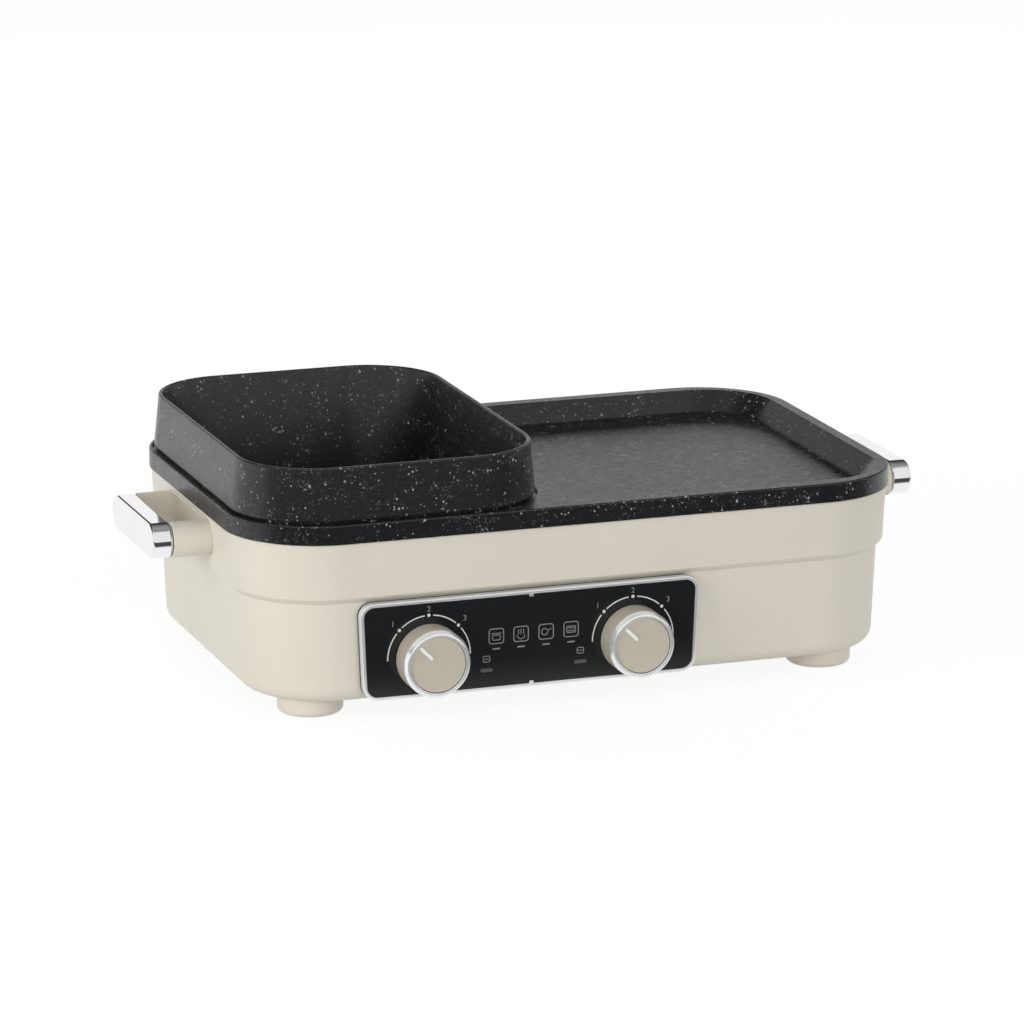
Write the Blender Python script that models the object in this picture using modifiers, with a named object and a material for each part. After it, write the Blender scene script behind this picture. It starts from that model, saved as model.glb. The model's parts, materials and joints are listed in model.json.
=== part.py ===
"""Electric hot pot and griddle combo, as its separate pieces.

The housing is two cream shells, one above the other. A black rim plate lies on top, with a
griddle recess on the right and an opening on the left that the hot pot stands in. Heating tubes
lie in two steel wells below them, and a panel with two rotary knobs is let into the front.

Units are metres, +Z is up, the front faces -Y, and z = 0 is the table.
"""
import math
from collections import namedtuple

import bmesh
import bpy
from mathutils import Vector

# Fits
TOUCH_GAP = 0.0003
CUT_OVERRUN = 0.002
LIFT_CLEARANCE = 0.001

# Feet
FOOT_RADIUS = 0.0225
FOOT_HEIGHT = 0.0132
FOOT_EDGE_ROUND = 0.004
FOOT_DISTANCE_X = 0.185
FOOT_DISTANCE_Y = 0.107
PAD_RADIUS = 0.0145
PAD_THICKNESS = 0.002
PAD_PROUD = 0.0008

# Rim plate with the griddle
RIM_WIDTH = 0.477
RIM_DEPTH = 0.3077
RIM_CORNER = 0.066
RIM_BAND = 0.0132
RIM_EDGE_ROUND = 0.0012
PLATE_WALL = 0.003
PLATE_DECK = 0.004
GRIDDLE_LEDGE_SIDE = 0.0089
GRIDDLE_LEDGE_ENDS = 0.0112
GRIDDLE_LEDGE_POT = 0.0087
GRIDDLE_CORNER = 0.050
GRIDDLE_SINK = 0.014
GRIDDLE_SLOPE = 0.0105
GRIDDLE_FLOOR_ROUND = 0.003
GRIDDLE_WALL = 0.0035
GRIDDLE_EDGE = 0.0008

# Hot pot
POT_FLANGE_WIDTH = 0.213
POT_FLANGE_CORNER = 0.059
POT_MARGIN_SIDE = 0.0041
POT_MARGIN_ENDS = 0.0049
POT_COLLAR_LEAN_X = 0.0037
POT_COLLAR_LEAN_Y = 0.0026
POT_COLLAR_LEAN_CORNER = 0.005
POT_SHOULDER_X = 0.0118
POT_SHOULDER_Y = 0.012
POT_SHOULDER_CORNER = 0.012
POT_SEAT_SINK = 0.002
POT_SEAT_CLEARANCE = 0.0013
POT_RISE = 0.0392
POT_RIM_WALL = 0.0032
POT_RIM_ROUND = 0.001
POT_BODY_TAPER = 0.007
POT_BODY_HEIGHT = 0.0525
POT_BOTTOM_ROUND = 0.012
POT_WALL = 0.0035

# Upper housing shell
UPPER_INSET = 0.0015
UPPER_HEIGHT = 0.042
UPPER_DRAFT = 0.0017
UPPER_CHAMFER_HEIGHT = 0.0065
UPPER_CHAMFER_INSET = 0.0045
HOUSING_WALL = 0.003

# Lower housing tub
LOWER_HEIGHT = 0.0694
LOWER_DRAFT = 0.0028
LOWER_BOTTOM_ROUND = 0.010
COVER_WINDOW_WIDTH = 0.364
COVER_WINDOW_DEPTH = 0.128
COVER_WINDOW_CORNER = 0.012

# Bottom cover
COVER_LAP = 0.018
COVER_THICKNESS = 0.0015
VENT_LENGTH = 0.040
VENT_WIDTH = 0.004
VENT_PITCH = 0.016
VENT_ROWS = 5
VENT_COLUMN_DISTANCE = 0.100
SCREW_SHANK_RADIUS = 0.002
SCREW_HEAD_RADIUS = 0.0038
SCREW_HEAD_HEIGHT = 0.0022
SCREW_RECESS_RADIUS = 0.0011
SCREW_RECESS_DEPTH = 0.0012
COVER_SCREW_LENGTH = 0.010
SCREW_EDGE_DISTANCE = 0.009
BOSS_RADIUS = 0.0045
BOSS_HEIGHT = 0.009

# Wells
WELL_SHEET = 0.0008
WELL_FLANGE = 0.0035
WELL_CORNER_ADD = 0.0015
POT_WELL_SIDE_GAP = 0.0025
POT_WELL_DEPTH = 0.058
GRIDDLE_WELL_INSET = 0.0039
GRIDDLE_WELL_DEPTH = 0.024
WELL_BOTTOM_ROUND = 0.006

# Heating elements
ELEMENT_RADIUS = 0.004
ELEMENT_BEND = 0.009
TERMINAL_HALF_GAP = 0.010
TERMINAL_DROP = 0.022
POT_ELEMENT_WIDTH = 0.124
POT_ELEMENT_DEPTH = 0.190
POT_ELEMENT_CORNER = 0.032
GRIDDLE_ELEMENT_MARGIN = 0.0373
GRIDDLE_ELEMENT_DEPTH = 0.200
GRIDDLE_ELEMENT_INNER_REACH = 0.060
GRIDDLE_ELEMENT_CORNER = 0.022
SUPPORT_STRIP = 0.0015
SUPPORT_WIDTH = 0.010
SUPPORT_FOOT = 0.012
SUPPORT_OVERHANG = 0.013
POT_SUPPORT_DISTANCE = 0.045
GRIDDLE_SUPPORT_DISTANCE = 0.030

# Handles
HANDLE_LENGTH = 0.106
HANDLE_HEIGHT = 0.0254
HANDLE_TOP_DROP = 0.0033
HANDLE_ARM_WIDTH = 0.0107
HANDLE_REACH = 0.0245
HANDLE_ROOT = 0.0085
HANDLE_EDGE_ROUND = 0.0015
POCKET_DEPTH = 0.006
POCKET_LIP = 0.002
BAR_THICKNESS = 0.0145
BAR_HEIGHT = 0.0245
BAR_EDGE_ROUND = 0.002
HANDLE_SCREW_DEPTH = 0.0075
HANDLE_SCREW_SINK = 0.003

# Control panel
PANEL_CENTRE_X = -0.0432
PANEL_TOP_WIDTH = 0.242
PANEL_BOTTOM_WIDTH = 0.2365
PANEL_BOTTOM_Z = 0.0163
PANEL_TOP_Z = 0.0835
PANEL_CORNER = 0.010
PANEL_FLANGE = 0.0057
PANEL_PLUG_INSET = 0.0075
PANEL_PLUG_DEPTH = 0.006
PANEL_SKIN = 0.003
BEZEL_WIDTH = 0.0024
BEZEL_DEPTH = 0.002
FACE_PLATE_DEPTH = 0.0017
LAMP_WIDTH = 0.009
LAMP_HEIGHT = 0.0026
LAMP_LEFT_X = -0.0752
LAMP_RIGHT_X = -0.0081
LAMP_Z = 0.0306
LAMP_REACH_BEHIND = 0.003

# Knobs, shafts and thermostats
KNOB_RADIUS = 0.0233
KNOB_DEPTH = 0.0209
KNOB_GAP = 0.0006
KNOB_Z = 0.0435
KNOB_LEFT_X = -0.1159
KNOB_RIGHT_X = 0.0297
KNOB_WALL = 0.0025
KNOB_FACE_THICKNESS = 0.003
KNOB_EDGE_ROUND = 0.0008
RING_WIDTH = 0.0038
RING_DEPTH = 0.0042
RING_PROUD = 0.0012
HUB_RADIUS = 0.006
SHAFT_RADIUS = 0.003
SHAFT_FIT = 0.0004
POINTER_LENGTH = 0.0122
POINTER_WIDTH = 0.0025
POINTER_THICKNESS = 0.0008
POINTER_INNER = 0.006
POINTER_ANGLE_DEGREES = 135.0
BUSH_RADIUS = 0.0045
BUSH_FIT = 0.0004
THERMOSTAT_WIDTH = 0.034
THERMOSTAT_HEIGHT = 0.030
THERMOSTAT_DEPTH = 0.020
THERMOSTAT_EDGE = 0.002
SHAFT_SOCKET_DEPTH = 0.012

# Power inlet and wiring
INLET_X = 0.120
INLET_Z = 0.048
INLET_WIDTH = 0.029
INLET_HEIGHT = 0.0215
INLET_DEPTH = 0.022
INLET_WALL = 0.0022
INLET_FLANGE_LAP = 0.004
INLET_FLANGE_THICKNESS = 0.0025
INLET_CORNER = 0.003
SOCKET_DEPTH = 0.017
PIN_PITCH = 0.007
PIN_WIDTH = 0.002
PIN_HEIGHT = 0.004
PIN_REACH = 0.014
PIN_TAB = 0.006
PIN_DROP = 0.003
BLOCK_WIDTH = 0.046
BLOCK_DEPTH = 0.020
BLOCK_HEIGHT = 0.015
BLOCK_DISTANCE = 0.0236
BLOCK_EDGE = 0.001
BLOCK_PORT_WIDTH = 0.004
BLOCK_PORT_PITCH = 0.011
BLOCK_PORT_DEPTH = 0.004
WIRE_RADIUS = 0.0014
WIRE_BEND = 0.004
WIRE_STUB = 0.009
WIRE_RUN_IN = 0.034
WIRE_LIFT = 0.004
WIRE_END_OFFSET = 0.006

# Mesh fineness, as counts
CORNER_STEPS = 7
FILLET_STEPS = 3
TURN_STEPS = 32
SMALL_TURN_STEPS = 12
BEND_STEPS = 5

# Lanes between the four long runs of the griddle's heating tube, as a count
GRIDDLE_ELEMENT_LANES = 3

# Outlines of the pot and the griddle, worked out from the rim plate that holds both
POT_FLANGE_DEPTH = RIM_DEPTH - POT_MARGIN_ENDS * 2
POT_TOP_WIDTH = POT_FLANGE_WIDTH - POT_COLLAR_LEAN_X * 2
POT_TOP_DEPTH = POT_FLANGE_DEPTH - POT_COLLAR_LEAN_Y * 2
POT_TOP_CORNER = POT_FLANGE_CORNER - POT_COLLAR_LEAN_CORNER
POT_BODY_WIDTH = POT_FLANGE_WIDTH - POT_SHOULDER_X * 2
POT_BODY_DEPTH = POT_FLANGE_DEPTH - POT_SHOULDER_Y * 2
POT_BODY_CORNER = POT_FLANGE_CORNER - POT_SHOULDER_CORNER
POT_CENTRE_X = POT_FLANGE_WIDTH / 2 + POT_MARGIN_SIDE - RIM_WIDTH / 2
GRIDDLE_LEFT_X = POT_CENTRE_X + POT_FLANGE_WIDTH / 2 + GRIDDLE_LEDGE_POT
GRIDDLE_RIGHT_X = RIM_WIDTH / 2 - GRIDDLE_LEDGE_SIDE
GRIDDLE_WIDTH = GRIDDLE_RIGHT_X - GRIDDLE_LEFT_X
GRIDDLE_DEPTH = RIM_DEPTH - GRIDDLE_LEDGE_ENDS * 2
GRIDDLE_CENTRE_X = (GRIDDLE_LEFT_X + GRIDDLE_RIGHT_X) / 2

# Griddle's heating tube and both pairs of supports, worked out from the griddle and the tubes
GRIDDLE_ELEMENT_WIDTH = GRIDDLE_WIDTH - GRIDDLE_ELEMENT_MARGIN * 2
GRIDDLE_ELEMENT_INNER_WIDTH = GRIDDLE_ELEMENT_WIDTH / GRIDDLE_ELEMENT_LANES
POT_SUPPORT_LENGTH = POT_ELEMENT_WIDTH + SUPPORT_OVERHANG * 2
GRIDDLE_SUPPORT_LENGTH = GRIDDLE_ELEMENT_WIDTH + SUPPORT_OVERHANG * 2

# Heights worked out from the sizes above
FOOT_TOP = PAD_PROUD + FOOT_HEIGHT
BASE_BOTTOM = FOOT_TOP + TOUCH_GAP
LOWER_TOP = BASE_BOTTOM + LOWER_HEIGHT
UPPER_BOTTOM = LOWER_TOP + TOUCH_GAP
DECK_TOP = UPPER_BOTTOM + UPPER_HEIGHT
PLATE_BOTTOM = DECK_TOP + TOUCH_GAP
PLATE_TOP = PLATE_BOTTOM + RIM_BAND
POT_SEAT = PLATE_TOP - POT_SEAT_SINK
POT_FLANGE_BOTTOM = POT_SEAT + TOUCH_GAP
POT_TOP = POT_FLANGE_BOTTOM + POT_RISE
POT_BOTTOM = POT_FLANGE_BOTTOM - POT_BODY_HEIGHT
GRIDDLE_FLOOR = PLATE_TOP - GRIDDLE_SINK
GRIDDLE_BOTTOM = GRIDDLE_FLOOR - GRIDDLE_WALL
HANDLE_TOP = DECK_TOP - HANDLE_TOP_DROP
HANDLE_MIDDLE = HANDLE_TOP - HANDLE_HEIGHT / 2

# Half sizes of the housing's outlines
UPPER_TOP_X = RIM_WIDTH / 2 - UPPER_INSET
UPPER_TOP_Y = RIM_DEPTH / 2 - UPPER_INSET
UPPER_LOW_X = UPPER_TOP_X - UPPER_DRAFT
UPPER_LOW_Y = UPPER_TOP_Y - UPPER_DRAFT
LOWER_TOP_X = UPPER_LOW_X - UPPER_CHAMFER_INSET
LOWER_TOP_Y = UPPER_LOW_Y - UPPER_CHAMFER_INSET
LOWER_CORNER = RIM_CORNER - (RIM_WIDTH / 2 - LOWER_TOP_X)
UPPER_CORNER = RIM_CORNER - UPPER_INSET

# Where the handle brackets start inside the rim's outline, and where their arms end outside it
HANDLE_ROOT_X = RIM_WIDTH / 2 - HANDLE_ROOT
HANDLE_TIP_X = RIM_WIDTH / 2 + HANDLE_REACH

# Planes of the panel, from the lower housing's front wall outwards
FRAME_BACK_Y = -LOWER_TOP_Y - TOUCH_GAP
FRAME_FRONT_Y = FRAME_BACK_Y - PANEL_FLANGE
FACE_BACK_Y = FRAME_FRONT_Y - TOUCH_GAP
FACE_FRONT_Y = FACE_BACK_Y - FACE_PLATE_DEPTH
KNOB_BACK_Y = FACE_FRONT_Y - KNOB_GAP
KNOB_FRONT_Y = KNOB_BACK_Y - KNOB_DEPTH
THERMOSTAT_FRONT_Y = FRAME_FRONT_Y + PANEL_SKIN + TOUCH_GAP

# Half of what the knobs reach out past the rim, which puts the whole part's middle at y = 0
BODY_SHIFT_Y = (-KNOB_FRONT_Y - RIM_DEPTH / 2) / 2

Section = namedtuple("Section", "half_x half_y corner z")
Turned = namedtuple("Turned", "radius height")


def clear_scene():
    """Remove the objects that the file opened with."""
    for thing in list(bpy.data.objects):
        bpy.data.objects.remove(thing, do_unlink=True)


def new_collection(name):
    """Make a collection and link it to the scene."""
    group = bpy.data.collections.new(name)
    bpy.context.scene.collection.children.link(group)
    return group


def paint(name, colour, roughness, metallic):
    """Make a Principled material in a plain colour."""
    material = bpy.data.materials.new(name)
    material.use_nodes = True
    shader = material.node_tree.nodes["Principled BSDF"]
    shader.inputs["Base Color"].default_value = (*colour, 1.0)
    shader.inputs["Roughness"].default_value = roughness
    shader.inputs["Metallic"].default_value = metallic
    return material


def add_object(name, mesh, material):
    """Link a mesh as a part and hang it on the empty that centres the whole product."""
    thing = bpy.data.objects.new(name, mesh)
    PARTS.objects.link(thing)
    thing.data.materials.append(material)
    thing.parent = CENTRE
    return thing


def mesh_from(bm, name):
    """Turn a bmesh into a mesh with its faces pointing outwards."""
    bmesh.ops.recalc_face_normals(bm, faces=bm.faces)
    mesh = bpy.data.meshes.new(name)
    bm.to_mesh(mesh)
    bm.free()
    mesh.shade_smooth()
    mesh.set_sharp_from_angle(angle=math.radians(32.0))
    return mesh


def rounded_outline(bm, section):
    """Start a rounded rectangle as one flat face: a plane whose four corners are bevelled."""
    made = bmesh.ops.create_grid(bm, x_segments=1, y_segments=1, size=1.0)
    for vert in made["verts"]:
        vert.co = Vector((vert.co.x * section.half_x, vert.co.y * section.half_y, section.z))
    bmesh.ops.bevel(bm, geom=made["verts"], offset=section.corner, segments=CORNER_STEPS,
                    profile=0.5, affect="VERTICES")
    return list(bm.verts)


def resize_loop(verts, old, new):
    """Move an outline's points from one section to the next, corner by corner."""
    for vert in verts:
        side = Vector((math.copysign(1.0, vert.co.x), math.copysign(1.0, vert.co.y), 0.0))
        old_core = Vector((side.x * (old.half_x - old.corner), side.y * (old.half_y - old.corner), 0.0))
        new_core = Vector((side.x * (new.half_x - new.corner), side.y * (new.half_y - new.corner), 0.0))
        spoke = (Vector((vert.co.x, vert.co.y, 0.0)) - old_core) / old.corner
        vert.co = new_core + spoke * new.corner + Vector((0.0, 0.0, new.z))


def stacked(name, sections, cap_start=True, cap_end=True):
    """Build a rounded, tapering box by extruding its first outline from section to section."""
    bm = bmesh.new()
    rounded_outline(bm, sections[0])
    edges = list(bm.edges)
    first_faces = list(bm.faces)
    for old, new in zip(sections, sections[1:]):
        grown = bmesh.ops.extrude_edge_only(bm, edges=edges)["geom"]
        resize_loop([item for item in grown if isinstance(item, bmesh.types.BMVert)], old, new)
        edges = [item for item in grown if isinstance(item, bmesh.types.BMEdge) and item.is_boundary]
    if not cap_start:
        bmesh.ops.delete(bm, geom=first_faces, context="FACES_ONLY")
    if cap_end:
        bmesh.ops.edgeloop_fill(bm, edges=edges)
    return mesh_from(bm, name)


def rounded_edge(wall, radius, upwards):
    """List the sections that round a wall into a cap below it, or above it if upwards."""
    turn = 1.0 if upwards else -1.0
    result = []
    for step in range(FILLET_STEPS + 1):
        angle = math.radians(90.0) * step / FILLET_STEPS
        inset = radius * (1.0 - math.cos(angle))
        rise = turn * radius * math.sin(angle)
        result.append(Section(wall.half_x - inset, wall.half_y - inset, wall.corner - inset,
                              wall.z + rise))
    return result


def add_solidify(thing, thickness):
    """Give an open surface its wall, on the inner side."""
    wall = thing.modifiers.new("wall", "SOLIDIFY")
    wall.thickness = thickness
    wall.offset = -1.0
    wall.use_even_offset = True


def add_bevel(thing, width, segments=2):
    """Round the edges that are sharper than 40 degrees."""
    edge = thing.modifiers.new("rounded edges", "BEVEL")
    edge.width = width
    edge.segments = segments
    edge.limit_method = "ANGLE"
    edge.angle_limit = math.radians(40.0)


def as_cutter(thing):
    """Move a part into the collection of cutters, which are not built."""
    PARTS.objects.unlink(thing)
    CUTTERS.objects.link(thing)
    thing.hide_render = True
    thing.display_type = "WIRE"
    return thing


def combine(target, tool, operation):
    """Cut a part with a tool, or join the tool to it."""
    change = target.modifiers.new(tool.name, "BOOLEAN")
    change.operation = operation
    change.object = as_cutter(tool)


def cut(target, *tools):
    """Cut each tool out of a part."""
    for tool in tools:
        combine(target, tool, "DIFFERENCE")


def join(target, *tools):
    """Join each tool to a part."""
    for tool in tools:
        combine(target, tool, "UNION")


def box(name, low, high, material):
    """Make a box between two corners."""
    bm = bmesh.new()
    bmesh.ops.create_cube(bm, size=1.0)
    middle = (Vector(low) + Vector(high)) / 2
    size = Vector(high) - Vector(low)
    for vert in bm.verts:
        vert.co = Vector((vert.co.x * size.x, vert.co.y * size.y, vert.co.z * size.z))
    thing = add_object(name, mesh_from(bm, name), material)
    thing.location = middle
    return thing


def cylinder(name, radius, start, end, material, steps=SMALL_TURN_STEPS):
    """Make a cylinder between two points."""
    axis = Vector(end) - Vector(start)
    bm = bmesh.new()
    bmesh.ops.create_cone(bm, cap_ends=True, segments=steps, radius1=radius, radius2=radius,
                          depth=axis.length)
    thing = add_object(name, mesh_from(bm, name), material)
    thing.location = (Vector(start) + Vector(end)) / 2
    thing.rotation_euler = axis.to_track_quat("Z", "Y").to_euler()
    return thing


def turned(name, profile, material, steps=TURN_STEPS):
    """Turn a profile, which runs down its outer side from the top, about its own Z axis."""
    mesh = bpy.data.meshes.new(name)
    points = [(point.radius, 0.0, point.height) for point in profile]
    mesh.from_pydata(points, [(i, i + 1) for i in range(len(points) - 1)], [])
    thing = add_object(name, mesh, material)
    screw = thing.modifiers.new("turn", "SCREW")
    screw.angle = math.radians(360.0)
    screw.steps = steps
    screw.render_steps = steps
    screw.use_merge_vertices = True
    screw.merge_threshold = 0.00005
    screw.use_smooth_shade = True
    return thing


def flat_outline(name, points, half_thickness, material, closed=True):
    """Make a plate from a flat outline, extruded to both sides of its own plane."""
    curve = bpy.data.curves.new(name, "CURVE")
    curve.dimensions = "2D"
    curve.fill_mode = "BOTH"
    curve.extrude = half_thickness
    line = curve.splines.new("POLY")
    line.points.add(len(points) - 1)
    for point, place in zip(line.points, points):
        point.co = (place[0], place[1], 0.0, 1.0)
    line.use_cyclic_u = closed
    thing = bpy.data.objects.new(name, curve)
    PARTS.objects.link(thing)
    thing.data.materials.append(material)
    thing.parent = CENTRE
    return thing


def curve_to_mesh(thing):
    """Swap a curve for a closed mesh of the same name and place, so that it can be cut."""
    name = thing.name
    graph = bpy.context.evaluated_depsgraph_get()
    graph.update()
    mesh = bpy.data.meshes.new_from_object(thing.evaluated_get(graph))
    bm = bmesh.new()
    bm.from_mesh(mesh)
    bmesh.ops.remove_doubles(bm, verts=bm.verts, dist=0.00001)
    bmesh.ops.recalc_face_normals(bm, faces=bm.faces)
    bm.to_mesh(mesh)
    bm.free()
    solid = bpy.data.objects.new(name + "_solid", mesh)
    PARTS.objects.link(solid)
    solid.parent = CENTRE
    solid.location = thing.location
    solid.rotation_euler = thing.rotation_euler
    bpy.data.objects.remove(thing, do_unlink=True)
    solid.name = name
    return solid


def tube(name, points, radius, material):
    """Make a round tube with filled ends along a line of points."""
    curve = bpy.data.curves.new(name, "CURVE")
    curve.dimensions = "3D"
    curve.bevel_depth = radius
    curve.bevel_resolution = 2
    curve.use_fill_caps = True
    line = curve.splines.new("POLY")
    line.points.add(len(points) - 1)
    for point, place in zip(line.points, points):
        point.co = (*place, 1.0)
    thing = bpy.data.objects.new(name, curve)
    PARTS.objects.link(thing)
    thing.data.materials.append(material)
    thing.parent = CENTRE
    return thing


def bent_route(stops, radii):
    """Round the inner stops of a path of straight runs, each with its own bend radius."""
    route = [Vector(stops[0])]
    for before, stop, after, radius in zip(stops, stops[1:], stops[2:], radii):
        here = Vector(stop)
        back = (Vector(before) - here).normalized()
        ahead = (Vector(after) - here).normalized()
        half = back.angle(ahead) / 2
        reach = radius / math.tan(half)
        middle = here + (back + ahead).normalized() * radius / math.sin(half)
        start = (here + back * reach - middle).normalized()
        end = (here + ahead * reach - middle).normalized()
        for step in range(BEND_STEPS + 1):
            route.append(middle + start.slerp(end, step / BEND_STEPS) * radius)
    route.append(Vector(stops[-1]))
    return route


def wire(name, stops, material):
    """Make a wire along straight runs, bent at every inner stop."""
    radii = [WIRE_BEND] * (len(stops) - 2)
    return tube(name, bent_route(stops, radii), WIRE_RADIUS, material)


def screw_profile(shank_length):
    """Profile of a pan-head screw with a socket, its head on top and its shank pointing down."""
    return [
        Turned(0.0, SCREW_HEAD_HEIGHT - SCREW_RECESS_DEPTH),
        Turned(SCREW_RECESS_RADIUS, SCREW_HEAD_HEIGHT - SCREW_RECESS_DEPTH),
        Turned(SCREW_RECESS_RADIUS, SCREW_HEAD_HEIGHT),
        Turned(SCREW_HEAD_RADIUS * 0.7, SCREW_HEAD_HEIGHT),
        Turned(SCREW_HEAD_RADIUS, SCREW_HEAD_HEIGHT * 0.55),
        Turned(SCREW_HEAD_RADIUS, 0.0),
        Turned(SCREW_SHANK_RADIUS, 0.0),
        Turned(SCREW_SHANK_RADIUS, SCREW_SHANK_RADIUS - shank_length),
        Turned(0.0, -shank_length),
    ]


def make_feet(cream, rubber):
    """Turn the four feet and the rubber pad let into each."""
    pocket = PAD_THICKNESS - PAD_PROUD + TOUCH_GAP
    foot_profile = [
        Turned(0.0, FOOT_HEIGHT),
        Turned(FOOT_RADIUS, FOOT_HEIGHT),
        Turned(FOOT_RADIUS, FOOT_EDGE_ROUND),
        Turned(FOOT_RADIUS - FOOT_EDGE_ROUND * 0.3, FOOT_EDGE_ROUND * 0.3),
        Turned(FOOT_RADIUS - FOOT_EDGE_ROUND, 0.0),
        Turned(PAD_RADIUS + TOUCH_GAP, 0.0),
        Turned(PAD_RADIUS + TOUCH_GAP, pocket),
        Turned(0.0, pocket),
    ]
    for depth_word, y in (("front", -FOOT_DISTANCE_Y), ("rear", FOOT_DISTANCE_Y)):
        for side_word, x in (("left", -FOOT_DISTANCE_X), ("right", FOOT_DISTANCE_X)):
            place = depth_word + "_" + side_word
            foot = turned("foot_" + place, foot_profile, cream)
            foot.location = (x, y, PAD_PROUD)
            cylinder("foot_pad_" + place, PAD_RADIUS, (x, y, 0.0), (x, y, PAD_THICKNESS), rubber,
                     TURN_STEPS)


def make_upper_housing(cream):
    """Shell of the upper tier: a deck with a window for each well, and a drafted skirt."""
    skirt_end = Section(LOWER_TOP_X, LOWER_TOP_Y, LOWER_CORNER, UPPER_BOTTOM)
    chamfer = Section(UPPER_LOW_X, UPPER_LOW_Y, UPPER_CORNER - UPPER_DRAFT,
                      UPPER_BOTTOM + UPPER_CHAMFER_HEIGHT)
    top = Section(UPPER_TOP_X, UPPER_TOP_Y, UPPER_CORNER, DECK_TOP)
    shell = add_object("upper_housing", stacked("upper_housing", [top, chamfer, skirt_end],
                                                cap_end=False), cream)
    add_solidify(shell, HOUSING_WALL)
    cut(shell,
        well_block("pot_window", pot_well_section(WELL_SHEET + TOUCH_GAP), POT_CENTRE_X),
        well_block("griddle_window", griddle_well_section(WELL_SHEET + TOUCH_GAP), GRIDDLE_CENTRE_X))
    for name, side in (("handle_window_left", -1.0), ("handle_window_right", 1.0)):
        inner = UPPER_LOW_X - HOUSING_WALL - CUT_OVERRUN
        outer = UPPER_TOP_X + CUT_OVERRUN
        cut(shell, side_box(name, side, inner, outer, HANDLE_LENGTH / 2 + TOUCH_GAP,
                            HANDLE_TOP - HANDLE_HEIGHT - TOUCH_GAP, HANDLE_TOP + TOUCH_GAP, cream))


def side_box(name, side, inner, outer, half_length, bottom, top, material):
    """Make a box on the left (-1) or right (1) side, given by its distances from the middle."""
    near = min(side * inner, side * outer)
    far = max(side * inner, side * outer)
    return box(name, (near, -half_length, bottom), (far, half_length, top), material)


def pot_well_section(grow):
    """Outline of the pot's well at the deck, grown by a wall or a clearance."""
    return Section(POT_BODY_WIDTH / 2 + POT_WELL_SIDE_GAP + grow,
                   POT_BODY_DEPTH / 2 + POT_WELL_SIDE_GAP + grow,
                   POT_BODY_CORNER + WELL_CORNER_ADD + grow, DECK_TOP)


def griddle_well_section(grow):
    """Outline of the griddle's well at the deck, grown by a wall or a clearance."""
    return Section(GRIDDLE_WIDTH / 2 - GRIDDLE_WELL_INSET + grow,
                   GRIDDLE_DEPTH / 2 - GRIDDLE_WELL_INSET + grow,
                   GRIDDLE_CORNER - GRIDDLE_WELL_INSET + grow, DECK_TOP)


def well_block(name, outline, centre_x):
    """Cutter that opens the deck for a well."""
    low = outline._replace(z=DECK_TOP - HOUSING_WALL - CUT_OVERRUN)
    high = outline._replace(z=DECK_TOP + CUT_OVERRUN)
    block = add_object(name, stacked(name, [low, high]), BLANK)
    block.location.x = centre_x
    return block


def make_well(name, outline, depth, centre_x, terminal_y, steel):
    """Steel pan below the pot or the griddle, hung by its flange on the deck."""
    flange_z = DECK_TOP + TOUCH_GAP + WELL_SHEET
    lip = Section(outline.half_x + WELL_FLANGE, outline.half_y + WELL_FLANGE,
                  outline.corner + WELL_FLANGE, flange_z)
    wall_top = outline._replace(z=flange_z)
    wall_end = outline._replace(z=flange_z - depth + WELL_BOTTOM_ROUND)
    sections = [lip, wall_top, *rounded_edge(wall_end, WELL_BOTTOM_ROUND, upwards=False)]
    pan = add_object(name, stacked(name, sections, cap_start=False), steel)
    pan.location.x = centre_x
    add_solidify(pan, WELL_SHEET)
    floor_z = flange_z - depth
    for word, side in (("left", -1.0), ("right", 1.0)):
        x = centre_x + side * TERMINAL_HALF_GAP
        cut(pan, cylinder(name + "_hole_" + word, ELEMENT_RADIUS + LIFT_CLEARANCE / 2,
                          (x, terminal_y, floor_z - CUT_OVERRUN), (x, terminal_y, floor_z + CUT_OVERRUN),
                          BLANK))
    return floor_z


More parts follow.
